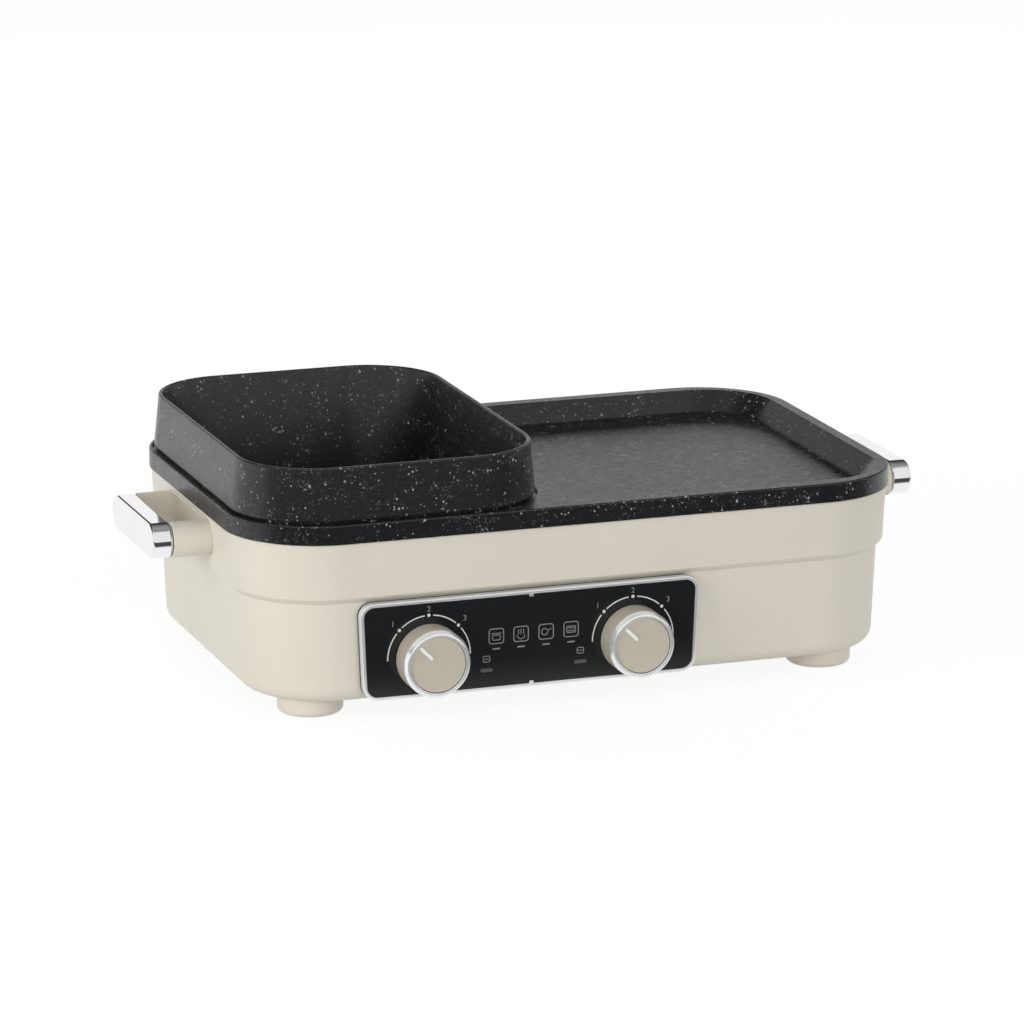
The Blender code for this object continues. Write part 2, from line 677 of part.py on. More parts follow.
def make_lower_housing(cream):
    """Tub of the lower tier, with bosses and a floor window for the bottom cover."""
    top = Section(LOWER_TOP_X, LOWER_TOP_Y, LOWER_CORNER, LOWER_TOP)
    low = Section(LOWER_TOP_X - LOWER_DRAFT, LOWER_TOP_Y, LOWER_CORNER - LOWER_DRAFT,
                  BASE_BOTTOM + LOWER_BOTTOM_ROUND)
    sections = [top, *rounded_edge(low, LOWER_BOTTOM_ROUND, upwards=False)]
    tub = add_object("lower_housing", stacked("lower_housing", sections, cap_start=False), cream)
    add_solidify(tub, HOUSING_WALL)

    window = Section(COVER_WINDOW_WIDTH / 2, COVER_WINDOW_DEPTH / 2, COVER_WINDOW_CORNER,
                     BASE_BOTTOM - CUT_OVERRUN)
    block = add_object("cover_window", stacked("cover_window", [
        window, window._replace(z=BASE_BOTTOM + HOUSING_WALL + CUT_OVERRUN)]), BLANK)
    cut(tub, block)
    for index, (x, y) in enumerate(cover_screw_places()):
        boss_low = (x, y, BASE_BOTTOM + HOUSING_WALL / 2)
        boss_high = (x, y, BASE_BOTTOM + HOUSING_WALL + BOSS_HEIGHT)
        join(tub, cylinder("boss_" + str(index + 1), BOSS_RADIUS, boss_low, boss_high, BLANK))
    for index, (x, y) in enumerate(cover_screw_places()):
        hole_low = (x, y, BASE_BOTTOM - CUT_OVERRUN)
        hole_high = (x, y, BASE_BOTTOM + COVER_SCREW_LENGTH)
        cut(tub, cylinder("boss_hole_" + str(index + 1), SCREW_SHANK_RADIUS + TOUCH_GAP, hole_low,
                          hole_high, BLANK))
    plug = panel_block("panel_window", PANEL_PLUG_INSET - TOUCH_GAP, FRAME_BACK_Y - CUT_OVERRUN,
                       FRAME_BACK_Y + HOUSING_WALL + CUT_OVERRUN)
    wall_y = LOWER_TOP_Y
    inlet_hole = box("inlet_window",
                     (INLET_X - INLET_WIDTH / 2 - TOUCH_GAP, wall_y - HOUSING_WALL - CUT_OVERRUN,
                      INLET_Z - INLET_HEIGHT / 2 - TOUCH_GAP),
                     (INLET_X + INLET_WIDTH / 2 + TOUCH_GAP, wall_y + CUT_OVERRUN,
                      INLET_Z + INLET_HEIGHT / 2 + TOUCH_GAP), BLANK)
    cut(tub, plug, inlet_hole)


def cover_screw_places():
    """Where the bottom cover's four screws stand, just outside the window's corners."""
    x = COVER_WINDOW_WIDTH / 2 + SCREW_EDGE_DISTANCE
    y = COVER_WINDOW_DEPTH / 2 - SCREW_EDGE_DISTANCE
    return [(-x, -y), (x, -y), (-x, y), (x, y)]


def make_bottom_cover(steel, screw_steel):
    """Vented sheet below the tub's window, and the screws that hold it."""
    top_z = BASE_BOTTOM - TOUCH_GAP
    outline = Section(COVER_WINDOW_WIDTH / 2 + COVER_LAP, COVER_WINDOW_DEPTH / 2 + COVER_LAP / 2,
                      COVER_WINDOW_CORNER, top_z - COVER_THICKNESS)
    cover = add_object("bottom_cover", stacked("bottom_cover", [
        outline, outline._replace(z=top_z)]), steel)
    for column in (-1.0, 0.0, 1.0):
        for row in range(VENT_ROWS):
            x = column * VENT_COLUMN_DISTANCE
            y = (row - (VENT_ROWS - 1) / 2) * VENT_PITCH
            slot = Section(VENT_LENGTH / 2, VENT_WIDTH / 2, VENT_WIDTH / 4,
                           top_z - COVER_THICKNESS - CUT_OVERRUN)
            name = "vent_" + str(int(column) + 2) + "_" + str(row + 1)
            block = box(name, (x - slot.half_x, y - slot.half_y, slot.z),
                        (x + slot.half_x, y + slot.half_y, top_z + CUT_OVERRUN), BLANK)
            cut(cover, block)
    for index, (x, y) in enumerate(cover_screw_places()):
        number = str(index + 1)
        cut(cover, cylinder("cover_hole_" + number, SCREW_SHANK_RADIUS + TOUCH_GAP,
                            (x, y, top_z - COVER_THICKNESS - CUT_OVERRUN), (x, y, top_z + CUT_OVERRUN),
                            BLANK))
        bolt = turned("cover_screw_" + number, screw_profile(COVER_SCREW_LENGTH), screw_steel,
                      SMALL_TURN_STEPS)
        bolt.location = (x, y, top_z - COVER_THICKNESS - TOUCH_GAP)
        bolt.rotation_euler = (math.radians(180.0), 0.0, 0.0)


def make_rim_plate(coating):
    """Black plate over the whole top: skirt, griddle recess and the opening for the pot."""
    skirt = Section(RIM_WIDTH / 2, RIM_DEPTH / 2, RIM_CORNER, PLATE_BOTTOM)
    top_edge = skirt._replace(z=PLATE_TOP - RIM_EDGE_ROUND)
    plate = add_object("rim_plate", stacked("rim_plate", [
        skirt, *rounded_edge(top_edge, RIM_EDGE_ROUND, upwards=True)]), coating)

    hollow = Section(RIM_WIDTH / 2 - PLATE_WALL, RIM_DEPTH / 2 - PLATE_WALL, RIM_CORNER - PLATE_WALL,
                     PLATE_BOTTOM - CUT_OVERRUN)
    cut(plate, add_object("underside", stacked("underside", [
        hollow, hollow._replace(z=PLATE_TOP - PLATE_DECK)]), BLANK))

    pan = add_object("griddle_pan", stacked("griddle_pan", [
        griddle_section(GRIDDLE_SLOPE - GRIDDLE_WALL + GRIDDLE_FLOOR_ROUND, GRIDDLE_BOTTOM),
        griddle_section(GRIDDLE_SLOPE - GRIDDLE_WALL, GRIDDLE_BOTTOM + GRIDDLE_FLOOR_ROUND),
        griddle_section(-GRIDDLE_EDGE, PLATE_TOP - PLATE_DECK / 2)]), BLANK)
    pan.location.x = GRIDDLE_CENTRE_X
    join(plate, pan)

    recess = add_object("griddle_recess", stacked("griddle_recess", [
        griddle_section(GRIDDLE_SLOPE + GRIDDLE_FLOOR_ROUND, GRIDDLE_FLOOR),
        griddle_section(GRIDDLE_SLOPE, GRIDDLE_FLOOR + GRIDDLE_FLOOR_ROUND / 2),
        griddle_section(GRIDDLE_EDGE, PLATE_TOP - GRIDDLE_EDGE),
        griddle_section(0.0, PLATE_TOP),
        griddle_section(0.0, PLATE_TOP + CUT_OVERRUN)]), BLANK)
    recess.location.x = GRIDDLE_CENTRE_X
    cut(plate, recess)

    opening = Section(POT_BODY_WIDTH / 2 + LIFT_CLEARANCE, POT_BODY_DEPTH / 2 + LIFT_CLEARANCE,
                      POT_BODY_CORNER + LIFT_CLEARANCE, PLATE_TOP - PLATE_DECK - CUT_OVERRUN)
    seat = Section(POT_FLANGE_WIDTH / 2 + POT_SEAT_CLEARANCE, POT_FLANGE_DEPTH / 2 + POT_SEAT_CLEARANCE,
                   POT_FLANGE_CORNER + POT_SEAT_CLEARANCE, POT_SEAT)
    for name, low in (("pot_opening", opening), ("pot_seat", seat)):
        block = add_object(name, stacked(name, [low, low._replace(z=PLATE_TOP + CUT_OVERRUN)]), BLANK)
        block.location.x = POT_CENTRE_X
        cut(plate, block)


def griddle_section(inset, z):
    """Outline of the griddle recess, drawn in by an inset."""
    return Section(GRIDDLE_WIDTH / 2 - inset, GRIDDLE_DEPTH / 2 - inset, GRIDDLE_CORNER - inset, z)


def make_pot(coating):
    """Deep pot: a tapering body, a flange that stands in the seat, and a flared collar."""
    body_top = Section(POT_BODY_WIDTH / 2, POT_BODY_DEPTH / 2, POT_BODY_CORNER, POT_FLANGE_BOTTOM)
    body_low = Section(body_top.half_x - POT_BODY_TAPER, body_top.half_y - POT_BODY_TAPER,
                       POT_BODY_CORNER - POT_BODY_TAPER, POT_BOTTOM + POT_BOTTOM_ROUND)
    flange = Section(POT_FLANGE_WIDTH / 2, POT_FLANGE_DEPTH / 2, POT_FLANGE_CORNER, POT_FLANGE_BOTTOM)
    rim = Section(POT_TOP_WIDTH / 2, POT_TOP_DEPTH / 2, POT_TOP_CORNER, POT_TOP - POT_RIM_ROUND)
    outer = [*reversed(rounded_edge(body_low, POT_BOTTOM_ROUND, upwards=False)), body_top, flange,
             *rounded_edge(rim, POT_RIM_ROUND, upwards=True)]
    pot = add_object("hot_pot", stacked("hot_pot", outer), coating)
    pot.location.x = POT_CENTRE_X

    mouth = Section(rim.half_x - POT_RIM_WALL, rim.half_y - POT_RIM_WALL, rim.corner - POT_RIM_WALL,
                    POT_TOP + CUT_OVERRUN)
    waist = Section(body_top.half_x - POT_WALL, body_top.half_y - POT_WALL,
                    POT_BODY_CORNER - POT_WALL, POT_FLANGE_BOTTOM)
    inner_low = Section(body_low.half_x - POT_WALL, body_low.half_y - POT_WALL,
                        body_low.corner - POT_WALL, POT_BOTTOM + POT_BOTTOM_ROUND)
    inner_round = POT_BOTTOM_ROUND - POT_WALL
    cavity = add_object("pot_cavity", stacked("pot_cavity", [
        *reversed(rounded_edge(inner_low, inner_round, upwards=False)), waist,
        mouth._replace(z=POT_TOP - POT_RIM_ROUND), mouth]), BLANK)
    cavity.location.x = POT_CENTRE_X
    cut(pot, cavity)


def make_elements(floors, element_metal, steel):
    """Bend the two heating tubes and set each on its two supports."""
    pot_z = POT_BOTTOM - TOUCH_GAP - ELEMENT_RADIUS
    half_x = POT_ELEMENT_WIDTH / 2
    half_y = POT_ELEMENT_DEPTH / 2
    low_z = floors["pot"] - TERMINAL_DROP
    stops = [(-TERMINAL_HALF_GAP, -half_y, low_z), (-TERMINAL_HALF_GAP, -half_y, pot_z),
             (-half_x, -half_y, pot_z), (-half_x, half_y, pot_z), (half_x, half_y, pot_z),
             (half_x, -half_y, pot_z), (TERMINAL_HALF_GAP, -half_y, pot_z),
             (TERMINAL_HALF_GAP, -half_y, low_z)]
    corner = POT_ELEMENT_CORNER
    radii = [ELEMENT_BEND, corner, corner, corner, corner, ELEMENT_BEND]
    ring = tube("pot_element", bent_route(stops, radii), ELEMENT_RADIUS, element_metal)
    ring.location.x = POT_CENTRE_X

    griddle_z = GRIDDLE_BOTTOM - TOUCH_GAP - ELEMENT_RADIUS
    half_x = GRIDDLE_ELEMENT_WIDTH / 2
    inner_x = GRIDDLE_ELEMENT_INNER_WIDTH / 2
    half_y = GRIDDLE_ELEMENT_DEPTH / 2
    reach = half_y - GRIDDLE_ELEMENT_INNER_REACH
    low_z = floors["griddle"] - TERMINAL_DROP
    left = [(-TERMINAL_HALF_GAP, -half_y, low_z), (-TERMINAL_HALF_GAP, -half_y, griddle_z),
            (-half_x, -half_y, griddle_z), (-half_x, half_y, griddle_z), (-inner_x, half_y, griddle_z),
            (-inner_x, -reach, griddle_z)]
    stops = left + [(-x, y, z) for x, y, z in reversed(left)]
    corner = min(GRIDDLE_ELEMENT_CORNER, (half_x - inner_x) / 2 - TOUCH_GAP)
    bends = [ELEMENT_BEND] + [corner] * 4
    coil = tube("griddle_element", bent_route(stops, bends + bends[::-1]), ELEMENT_RADIUS,
                element_metal)
    coil.location.x = GRIDDLE_CENTRE_X

    rows = (("pot", POT_CENTRE_X, POT_SUPPORT_LENGTH, POT_SUPPORT_DISTANCE, pot_z),
            ("griddle", GRIDDLE_CENTRE_X, GRIDDLE_SUPPORT_LENGTH, GRIDDLE_SUPPORT_DISTANCE, griddle_z))
    for word, centre_x, length, distance, tube_z in rows:
        bottom = floors[word] + TOUCH_GAP
        top = tube_z - ELEMENT_RADIUS - TOUCH_GAP
        for place, y in (("front", -distance), ("rear", distance)):
            name = word + "_support_" + place
            strip = flat_outline(name, support_outline(length, top - bottom), SUPPORT_WIDTH / 2, steel)
            strip.location = (centre_x, y, bottom)
            strip.rotation_euler = (math.radians(90.0), 0.0, 0.0)


def support_outline(length, height):
    """Side view of a bent strip: feet turned out, legs, and the bridge that the tube lies on."""
    half = length / 2
    inner = half - SUPPORT_FOOT
    sheet = SUPPORT_STRIP
    right = [(half, 0.0), (half, sheet), (inner, sheet), (inner, height)]
    inside = [(inner - sheet, height - sheet), (inner - sheet, 0.0)]
    left = [(-x, y) for x, y in reversed(right)]
    inside_left = [(-x, y) for x, y in reversed(inside)]
    return right + left + inside_left + inside


def make_handles(cream, chrome, screw_steel):
    """Bracket with its finger pocket, chrome bar and two screws, on each side."""
    half = HANDLE_LENGTH / 2
    bottom = HANDLE_TOP - HANDLE_HEIGHT
    finger = half - HANDLE_ARM_WIDTH
    for word, side in (("left", -1.0), ("right", 1.0)):
        bracket = side_box("handle_bracket_" + word, side, HANDLE_ROOT_X, UPPER_LOW_X, half, bottom,
                           HANDLE_TOP, cream)
        join(bracket, make_stadium("arms_" + word, side, HANDLE_ROOT_X + HANDLE_SCREW_SINK, HANDLE_TIP_X,
                                   HANDLE_HEIGHT, BLANK))
        gap = side_box("finger_gap_" + word, side, UPPER_TOP_X, HANDLE_TIP_X + CUT_OVERRUN, finger,
                       bottom - CUT_OVERRUN, HANDLE_TOP + CUT_OVERRUN, BLANK)
        pocket = side_box("pocket_" + word, side, UPPER_TOP_X - POCKET_DEPTH,
                          UPPER_TOP_X + CUT_OVERRUN, finger, bottom + POCKET_LIP,
                          HANDLE_TOP - POCKET_LIP, BLANK)
        cut(bracket, gap, pocket)
        bar_low = HANDLE_TIP_X + TOUCH_GAP
        bar = make_stadium("handle_bar_" + word, side, bar_low, bar_low + BAR_THICKNESS, BAR_HEIGHT,
                           chrome)
        add_bevel(bar, BAR_EDGE_ROUND)
        for place, y in (("front", HANDLE_ARM_WIDTH / 2 - half), ("rear", half - HANDLE_ARM_WIDTH / 2)):
            name = word + "_" + place
            sink = HANDLE_ROOT_X + HANDLE_SCREW_SINK
            tip = bar_low + HANDLE_SCREW_DEPTH
            ends = ((side * (HANDLE_ROOT_X - CUT_OVERRUN), y, HANDLE_MIDDLE), (side * sink, y, HANDLE_MIDDLE))
            cut(bracket, cylinder("counterbore_" + name, SCREW_HEAD_RADIUS + TOUCH_GAP, *ends, BLANK))
            ends = ((side * (sink - CUT_OVERRUN), y, HANDLE_MIDDLE),
                    (side * (HANDLE_TIP_X + CUT_OVERRUN), y, HANDLE_MIDDLE))
            cut(bracket, cylinder("arm_hole_" + name, SCREW_SHANK_RADIUS + TOUCH_GAP, *ends, BLANK))
            ends = ((side * (bar_low - CUT_OVERRUN), y, HANDLE_MIDDLE),
                    (side * (tip + TOUCH_GAP), y, HANDLE_MIDDLE))
            cut(bar, cylinder("bar_hole_" + name, SCREW_SHANK_RADIUS + TOUCH_GAP, *ends, BLANK))
            head_seat = sink - TOUCH_GAP
            bolt = turned("handle_screw_" + name, screw_profile(tip - head_seat), screw_steel,
                          SMALL_TURN_STEPS)
            bolt.location = (side * head_seat, y, HANDLE_MIDDLE)
            bolt.rotation_euler = (0.0, math.radians(-90.0) * side, 0.0)


def make_stadium(name, side, inner, outer, height, material):
    """Make a bar that is a stadium seen from the side, between two distances from the middle."""
    radius = height / 2
    straight = HANDLE_LENGTH / 2 - radius
    points = []
    for centre, start in ((straight, -90.0), (-straight, 90.0)):
        for step in range(CORNER_STEPS * 2 + 1):
            angle = math.radians(start + 180.0 * step / (CORNER_STEPS * 2))
            points.append((centre + radius * math.cos(angle), radius * math.sin(angle)))
    outline = flat_outline(name, points, (outer - inner) / 2, material)
    outline.location = (side * (inner + outer) / 2, 0.0, HANDLE_MIDDLE)
    outline.rotation_euler = (math.radians(90.0), 0.0, math.radians(90.0))
    bar = curve_to_mesh(outline)
    bar.data.materials.clear()
    bar.data.materials.append(material)
    return bar


def panel_block(name, inset, front_y, back_y, material=None):
    """Tapered panel outline with round corners, as a solid between two planes."""
    low_half = PANEL_BOTTOM_WIDTH / 2 - inset
    high_half = PANEL_TOP_WIDTH / 2 - inset
    bottom = PANEL_BOTTOM_Z + inset
    top = PANEL_TOP_Z - inset
    middle = (bottom + top) / 2
    bm = bmesh.new()
    made = bmesh.ops.create_grid(bm, x_segments=1, y_segments=1, size=1.0)
    for vert in made["verts"]:
        half = high_half if vert.co.y > 0.0 else low_half
        vert.co = Vector((vert.co.x * half, vert.co.y * (top - bottom) / 2, 0.0))
    corner = max(PANEL_CORNER - inset, PANEL_CORNER / 3)
    bmesh.ops.bevel(bm, geom=made["verts"], offset=corner, segments=CORNER_STEPS, profile=0.5,
                    affect="VERTICES")
    grown = bmesh.ops.extrude_face_region(bm, geom=list(bm.faces))["geom"]
    bmesh.ops.translate(bm, verts=[item for item in grown if isinstance(item, bmesh.types.BMVert)],
                        vec=(0.0, 0.0, back_y - front_y))
    block = add_object(name, mesh_from(bm, name), material or BLANK)
    block.location = (PANEL_CENTRE_X, back_y, middle)
    block.rotation_euler = (math.radians(90.0), 0.0, 0.0)
    return block


def make_panel(black_plastic, chrome, gloss_black, lens):
    """Panel frame let into the front wall, chrome bezel, gloss face plate and the two lamps."""
    frame = panel_block("panel_frame", 0.0, FRAME_FRONT_Y, FRAME_BACK_Y, black_plastic)
    plug_back = FRAME_BACK_Y + PANEL_PLUG_DEPTH
    join(frame, panel_block("panel_plug", PANEL_PLUG_INSET, FRAME_FRONT_Y + PANEL_SKIN, plug_back))
    cut(frame, panel_block("panel_hollow", PANEL_PLUG_INSET + PANEL_SKIN, FRAME_FRONT_Y + PANEL_SKIN,
                           plug_back + CUT_OVERRUN))

    bezel = panel_block("panel_bezel", 0.0, FACE_BACK_Y - BEZEL_DEPTH, FACE_BACK_Y, chrome)
    cut(bezel, panel_block("bezel_window", BEZEL_WIDTH, FACE_BACK_Y - BEZEL_DEPTH - CUT_OVERRUN,
                           FACE_BACK_Y + CUT_OVERRUN))
    face = panel_block("panel_face", BEZEL_WIDTH + TOUCH_GAP, FACE_FRONT_Y, FACE_BACK_Y, gloss_black)

    front = FACE_FRONT_Y - CUT_OVERRUN
    for word, x in (("left", KNOB_LEFT_X), ("right", KNOB_RIGHT_X)):
        cut(face, cylinder("face_hole_" + word, SHAFT_RADIUS + LIFT_CLEARANCE / 2, (x, front, KNOB_Z),
                           (x, FACE_BACK_Y + CUT_OVERRUN, KNOB_Z), BLANK))
        cut(frame, cylinder("frame_hole_" + word, BUSH_RADIUS + BUSH_FIT, (x, front, KNOB_Z),
                            (x, plug_back, KNOB_Z), BLANK))
    lamp_back = FRAME_FRONT_Y + PANEL_SKIN + LAMP_REACH_BEHIND
    for word, x in (("left", LAMP_LEFT_X), ("right", LAMP_RIGHT_X)):
        for target, label in ((face, "face"), (frame, "frame")):
            cut(target, lamp_box(label + "_lamp_slot_" + word, x, TOUCH_GAP, front,
                                 plug_back + CUT_OVERRUN, BLANK))
        lamp_box("indicator_lens_" + word, x, 0.0, FACE_FRONT_Y - TOUCH_GAP, lamp_back, lens)


def lamp_box(name, x, grow, front_y, back_y, material):
    """Small oblong of a lamp window, or the slot that it fits."""
    half_x = LAMP_WIDTH / 2 + grow
    half_z = LAMP_HEIGHT / 2 + grow
    return box(name, (x - half_x, front_y, LAMP_Z - half_z), (x + half_x, back_y, LAMP_Z + half_z),
               material)


def make_knobs(champagne, chrome, ink, phenolic, screw_steel):
    """Two knobs with ring and pointer, each on its shaft in front of its thermostat."""
    ring_inner = KNOB_RADIUS - RING_WIDTH
    face = KNOB_DEPTH - RING_PROUD
    rabbet = KNOB_DEPTH - RING_DEPTH
    ceiling = face - KNOB_FACE_THICKNESS
    bore = SHAFT_RADIUS + SHAFT_FIT
    cavity_radius = min(KNOB_RADIUS - KNOB_WALL, ring_inner - KNOB_WALL)
    cap_profile = [
        Turned(0.0, face),
        Turned(ring_inner - TOUCH_GAP - KNOB_EDGE_ROUND, face),
        Turned(ring_inner - TOUCH_GAP, face - KNOB_EDGE_ROUND),
        Turned(ring_inner - TOUCH_GAP, rabbet - TOUCH_GAP),
        Turned(KNOB_RADIUS, rabbet - TOUCH_GAP),
        Turned(KNOB_RADIUS, 0.0),
        Turned(cavity_radius, 0.0),
        Turned(cavity_radius, ceiling),
        Turned(HUB_RADIUS, ceiling),
        Turned(HUB_RADIUS, KNOB_EDGE_ROUND),
        Turned(bore, KNOB_EDGE_ROUND),
        Turned(bore, ceiling),
        Turned(0.0, ceiling),
    ]
    ring_profile = [
        Turned(ring_inner, KNOB_DEPTH - KNOB_EDGE_ROUND),
        Turned(ring_inner + KNOB_EDGE_ROUND, KNOB_DEPTH),
        Turned(KNOB_RADIUS - KNOB_EDGE_ROUND, KNOB_DEPTH),
        Turned(KNOB_RADIUS, KNOB_DEPTH - KNOB_EDGE_ROUND),
        Turned(KNOB_RADIUS, rabbet),
        Turned(ring_inner, rabbet),
        Turned(ring_inner, KNOB_DEPTH - KNOB_EDGE_ROUND),
    ]
    for word, x in (("left", KNOB_LEFT_X), ("right", KNOB_RIGHT_X)):
        cap = turned("knob_" + word, cap_profile, champagne)
        ring = turned("knob_ring_" + word, ring_profile, chrome)
        for piece in (cap, ring):
            piece.location = (x, KNOB_BACK_Y, KNOB_Z)
            piece.rotation_euler = (math.radians(90.0), 0.0, 0.0)
        make_pointer(word, x, KNOB_BACK_Y - face, ink)
        shaft_back = THERMOSTAT_FRONT_Y + SHAFT_SOCKET_DEPTH - TOUCH_GAP
        cylinder("control_shaft_" + word, SHAFT_RADIUS, (x, shaft_back, KNOB_Z),
                 (x, KNOB_BACK_Y - ceiling + TOUCH_GAP, KNOB_Z), screw_steel)
        make_thermostat(word, x, phenolic)


def make_pointer(word, x, face_y, ink):
    """Pointer inlay on the knob's face, turned to where the photograph shows it."""
    angle = math.radians(POINTER_ANGLE_DEGREES)
    middle = POINTER_INNER + POINTER_LENGTH / 2
    bm = bmesh.new()
    bmesh.ops.create_cube(bm, size=1.0)
    for vert in bm.verts:
        vert.co = Vector((vert.co.x * POINTER_LENGTH, vert.co.y * POINTER_THICKNESS,
                          vert.co.z * POINTER_WIDTH))
    pointer = add_object("knob_pointer_" + word, mesh_from(bm, "knob_pointer"), ink)
    pointer.location = (x + middle * math.cos(angle), face_y - TOUCH_GAP - POINTER_THICKNESS / 2,
                        KNOB_Z + middle * math.sin(angle))
    pointer.rotation_euler = (0.0, -angle, 0.0)


def make_thermostat(word, x, phenolic):
    """Thermostat body behind the panel, its threaded bush through the frame."""
    front = THERMOSTAT_FRONT_Y
    body = box("thermostat_" + word,
               (x - THERMOSTAT_WIDTH / 2, front, KNOB_Z - THERMOSTAT_HEIGHT / 2),
               (x + THERMOSTAT_WIDTH / 2, front + THERMOSTAT_DEPTH, KNOB_Z + THERMOSTAT_HEIGHT / 2),
               phenolic)
    add_bevel(body, THERMOSTAT_EDGE)
    bush_tip = FRAME_FRONT_Y + TOUCH_GAP
    join(body, cylinder("bush_" + word, BUSH_RADIUS, (x, front + THERMOSTAT_EDGE, KNOB_Z),
                        (x, bush_tip, KNOB_Z), BLANK))
    cut(body, cylinder("shaft_socket_" + word, SHAFT_RADIUS + SHAFT_FIT,
                       (x, bush_tip - CUT_OVERRUN, KNOB_Z), (x, front + SHAFT_SOCKET_DEPTH, KNOB_Z),
                       BLANK))


def make_inlet(black_plastic, brass):
    """Power inlet in the rear wall, with its three flat pins."""
    wall_y = LOWER_TOP_Y
    flange_back = wall_y + TOUCH_GAP
    flange_front = flange_back + INLET_FLANGE_THICKNESS
    inner_y = flange_front - INLET_DEPTH
    half_x = INLET_WIDTH / 2
    half_z = INLET_HEIGHT / 2
    shell = box("power_inlet", (INLET_X - half_x, inner_y, INLET_Z - half_z),
                (INLET_X + half_x, flange_front - TOUCH_GAP, INLET_Z + half_z), black_plastic)
    lap = INLET_FLANGE_LAP
    join(shell, box("inlet_flange", (INLET_X - half_x - lap, flange_back, INLET_Z - half_z - lap),
                    (INLET_X + half_x + lap, flange_front, INLET_Z + half_z + lap), BLANK))
    wall = INLET_WALL
    floor_y = flange_front - SOCKET_DEPTH
    cut(shell, box("inlet_socket", (INLET_X - half_x + wall, floor_y, INLET_Z - half_z + wall),
                   (INLET_X + half_x - wall, flange_front + CUT_OVERRUN, INLET_Z + half_z - wall),
                   BLANK))
    for word, step in (("line", -1.0), ("earth", 0.0), ("neutral", 1.0)):
        x = INLET_X + step * PIN_PITCH
        z = INLET_Z - PIN_DROP
        grow = TOUCH_GAP
        cut(shell, box("pin_slot_" + word, (x - PIN_WIDTH / 2 - grow, inner_y - CUT_OVERRUN,
                                            z - PIN_HEIGHT / 2 - grow),
                       (x + PIN_WIDTH / 2 + grow, floor_y + CUT_OVERRUN, z + PIN_HEIGHT / 2 + grow),
                       BLANK))
        box("inlet_pin_" + word, (x - PIN_WIDTH / 2, inner_y - PIN_TAB, z - PIN_HEIGHT / 2),
            (x + PIN_WIDTH / 2, floor_y + PIN_REACH, z + PIN_HEIGHT / 2), brass)
    return inner_y - PIN_TAB


def make_wiring(floors, tab_y, white_plastic, insulation):
    """Terminal block on the floor, and the wires from the inlet to the heating tubes."""
    floor = BASE_BOTTOM + HOUSING_WALL + TOUCH_GAP
    block_top = floor + BLOCK_HEIGHT
    block_y = tab_y - BLOCK_DISTANCE - BLOCK_DEPTH / 2
    block = box("terminal_block", (INLET_X - BLOCK_WIDTH / 2, block_y - BLOCK_DEPTH / 2, floor),
                (INLET_X + BLOCK_WIDTH / 2, block_y + BLOCK_DEPTH / 2, block_top), white_plastic)
    add_bevel(block, BLOCK_EDGE, 1)
    ports = {}
    for word, step in (("line", -1.0), ("earth", 0.0), ("neutral", 1.0)):
        x = INLET_X + step * BLOCK_PORT_PITCH
        half = BLOCK_PORT_WIDTH / 2
        cut(block, box("screw_port_" + word, (x - half, block_y - half, block_top - BLOCK_PORT_DEPTH),
                       (x + half, block_y + half, block_top + CUT_OVERRUN), BLANK))
        ports[word] = x
    port_z = floor + BLOCK_HEIGHT / 2
    block_back = block_y + BLOCK_DEPTH / 2 + TOUCH_GAP
    block_front = block_y - BLOCK_DEPTH / 2 - TOUCH_GAP
    tab_z = INLET_Z - PIN_DROP
    for word, step in (("line", -1.0), ("neutral", 1.0)):
        x = INLET_X + step * PIN_PITCH
        wire("inlet_wire_" + word, [
            (x, tab_y - TOUCH_GAP, tab_z),
            (x, tab_y - WIRE_STUB, tab_z),
            (ports[word], block_back + WIRE_STUB, port_z),
            (ports[word], block_back, port_z)], insulation)
    back_y = THERMOSTAT_FRONT_Y + THERMOSTAT_DEPTH + TOUCH_GAP
    run_z = floor + WIRE_LIFT
    end_z = KNOB_Z - WIRE_END_OFFSET
    for word, port, knob_x in (("left", "line", KNOB_LEFT_X), ("right", "neutral", KNOB_RIGHT_X)):
        wire("feed_wire_" + word, [
            (ports[port], block_front, port_z),
            (ports[port], block_front - WIRE_STUB, port_z),
            (ports[port], block_front - WIRE_RUN_IN, run_z),
            (knob_x, back_y + WIRE_RUN_IN, run_z),
            (knob_x, back_y + WIRE_STUB, end_z),
            (knob_x, back_y, end_z)], insulation)
    rows = (("pot", POT_CENTRE_X, POT_ELEMENT_DEPTH, KNOB_LEFT_X),
            ("griddle", GRIDDLE_CENTRE_X, GRIDDLE_ELEMENT_DEPTH, KNOB_RIGHT_X))
    for word, centre_x, element_depth, knob_x in rows:
        x = centre_x - TERMINAL_HALF_GAP
        y = -element_depth / 2
        z = floors[word] - TERMINAL_DROP - TOUCH_GAP
        end_x = knob_x - THERMOSTAT_WIDTH / 4
        end_z = KNOB_Z + WIRE_END_OFFSET
        wire("element_wire_" + word, [
            (x, y, z),
            (x, y, z - WIRE_STUB),
            (end_x, back_y + WIRE_STUB, end_z),
            (end_x, back_y, end_z)], insulation)


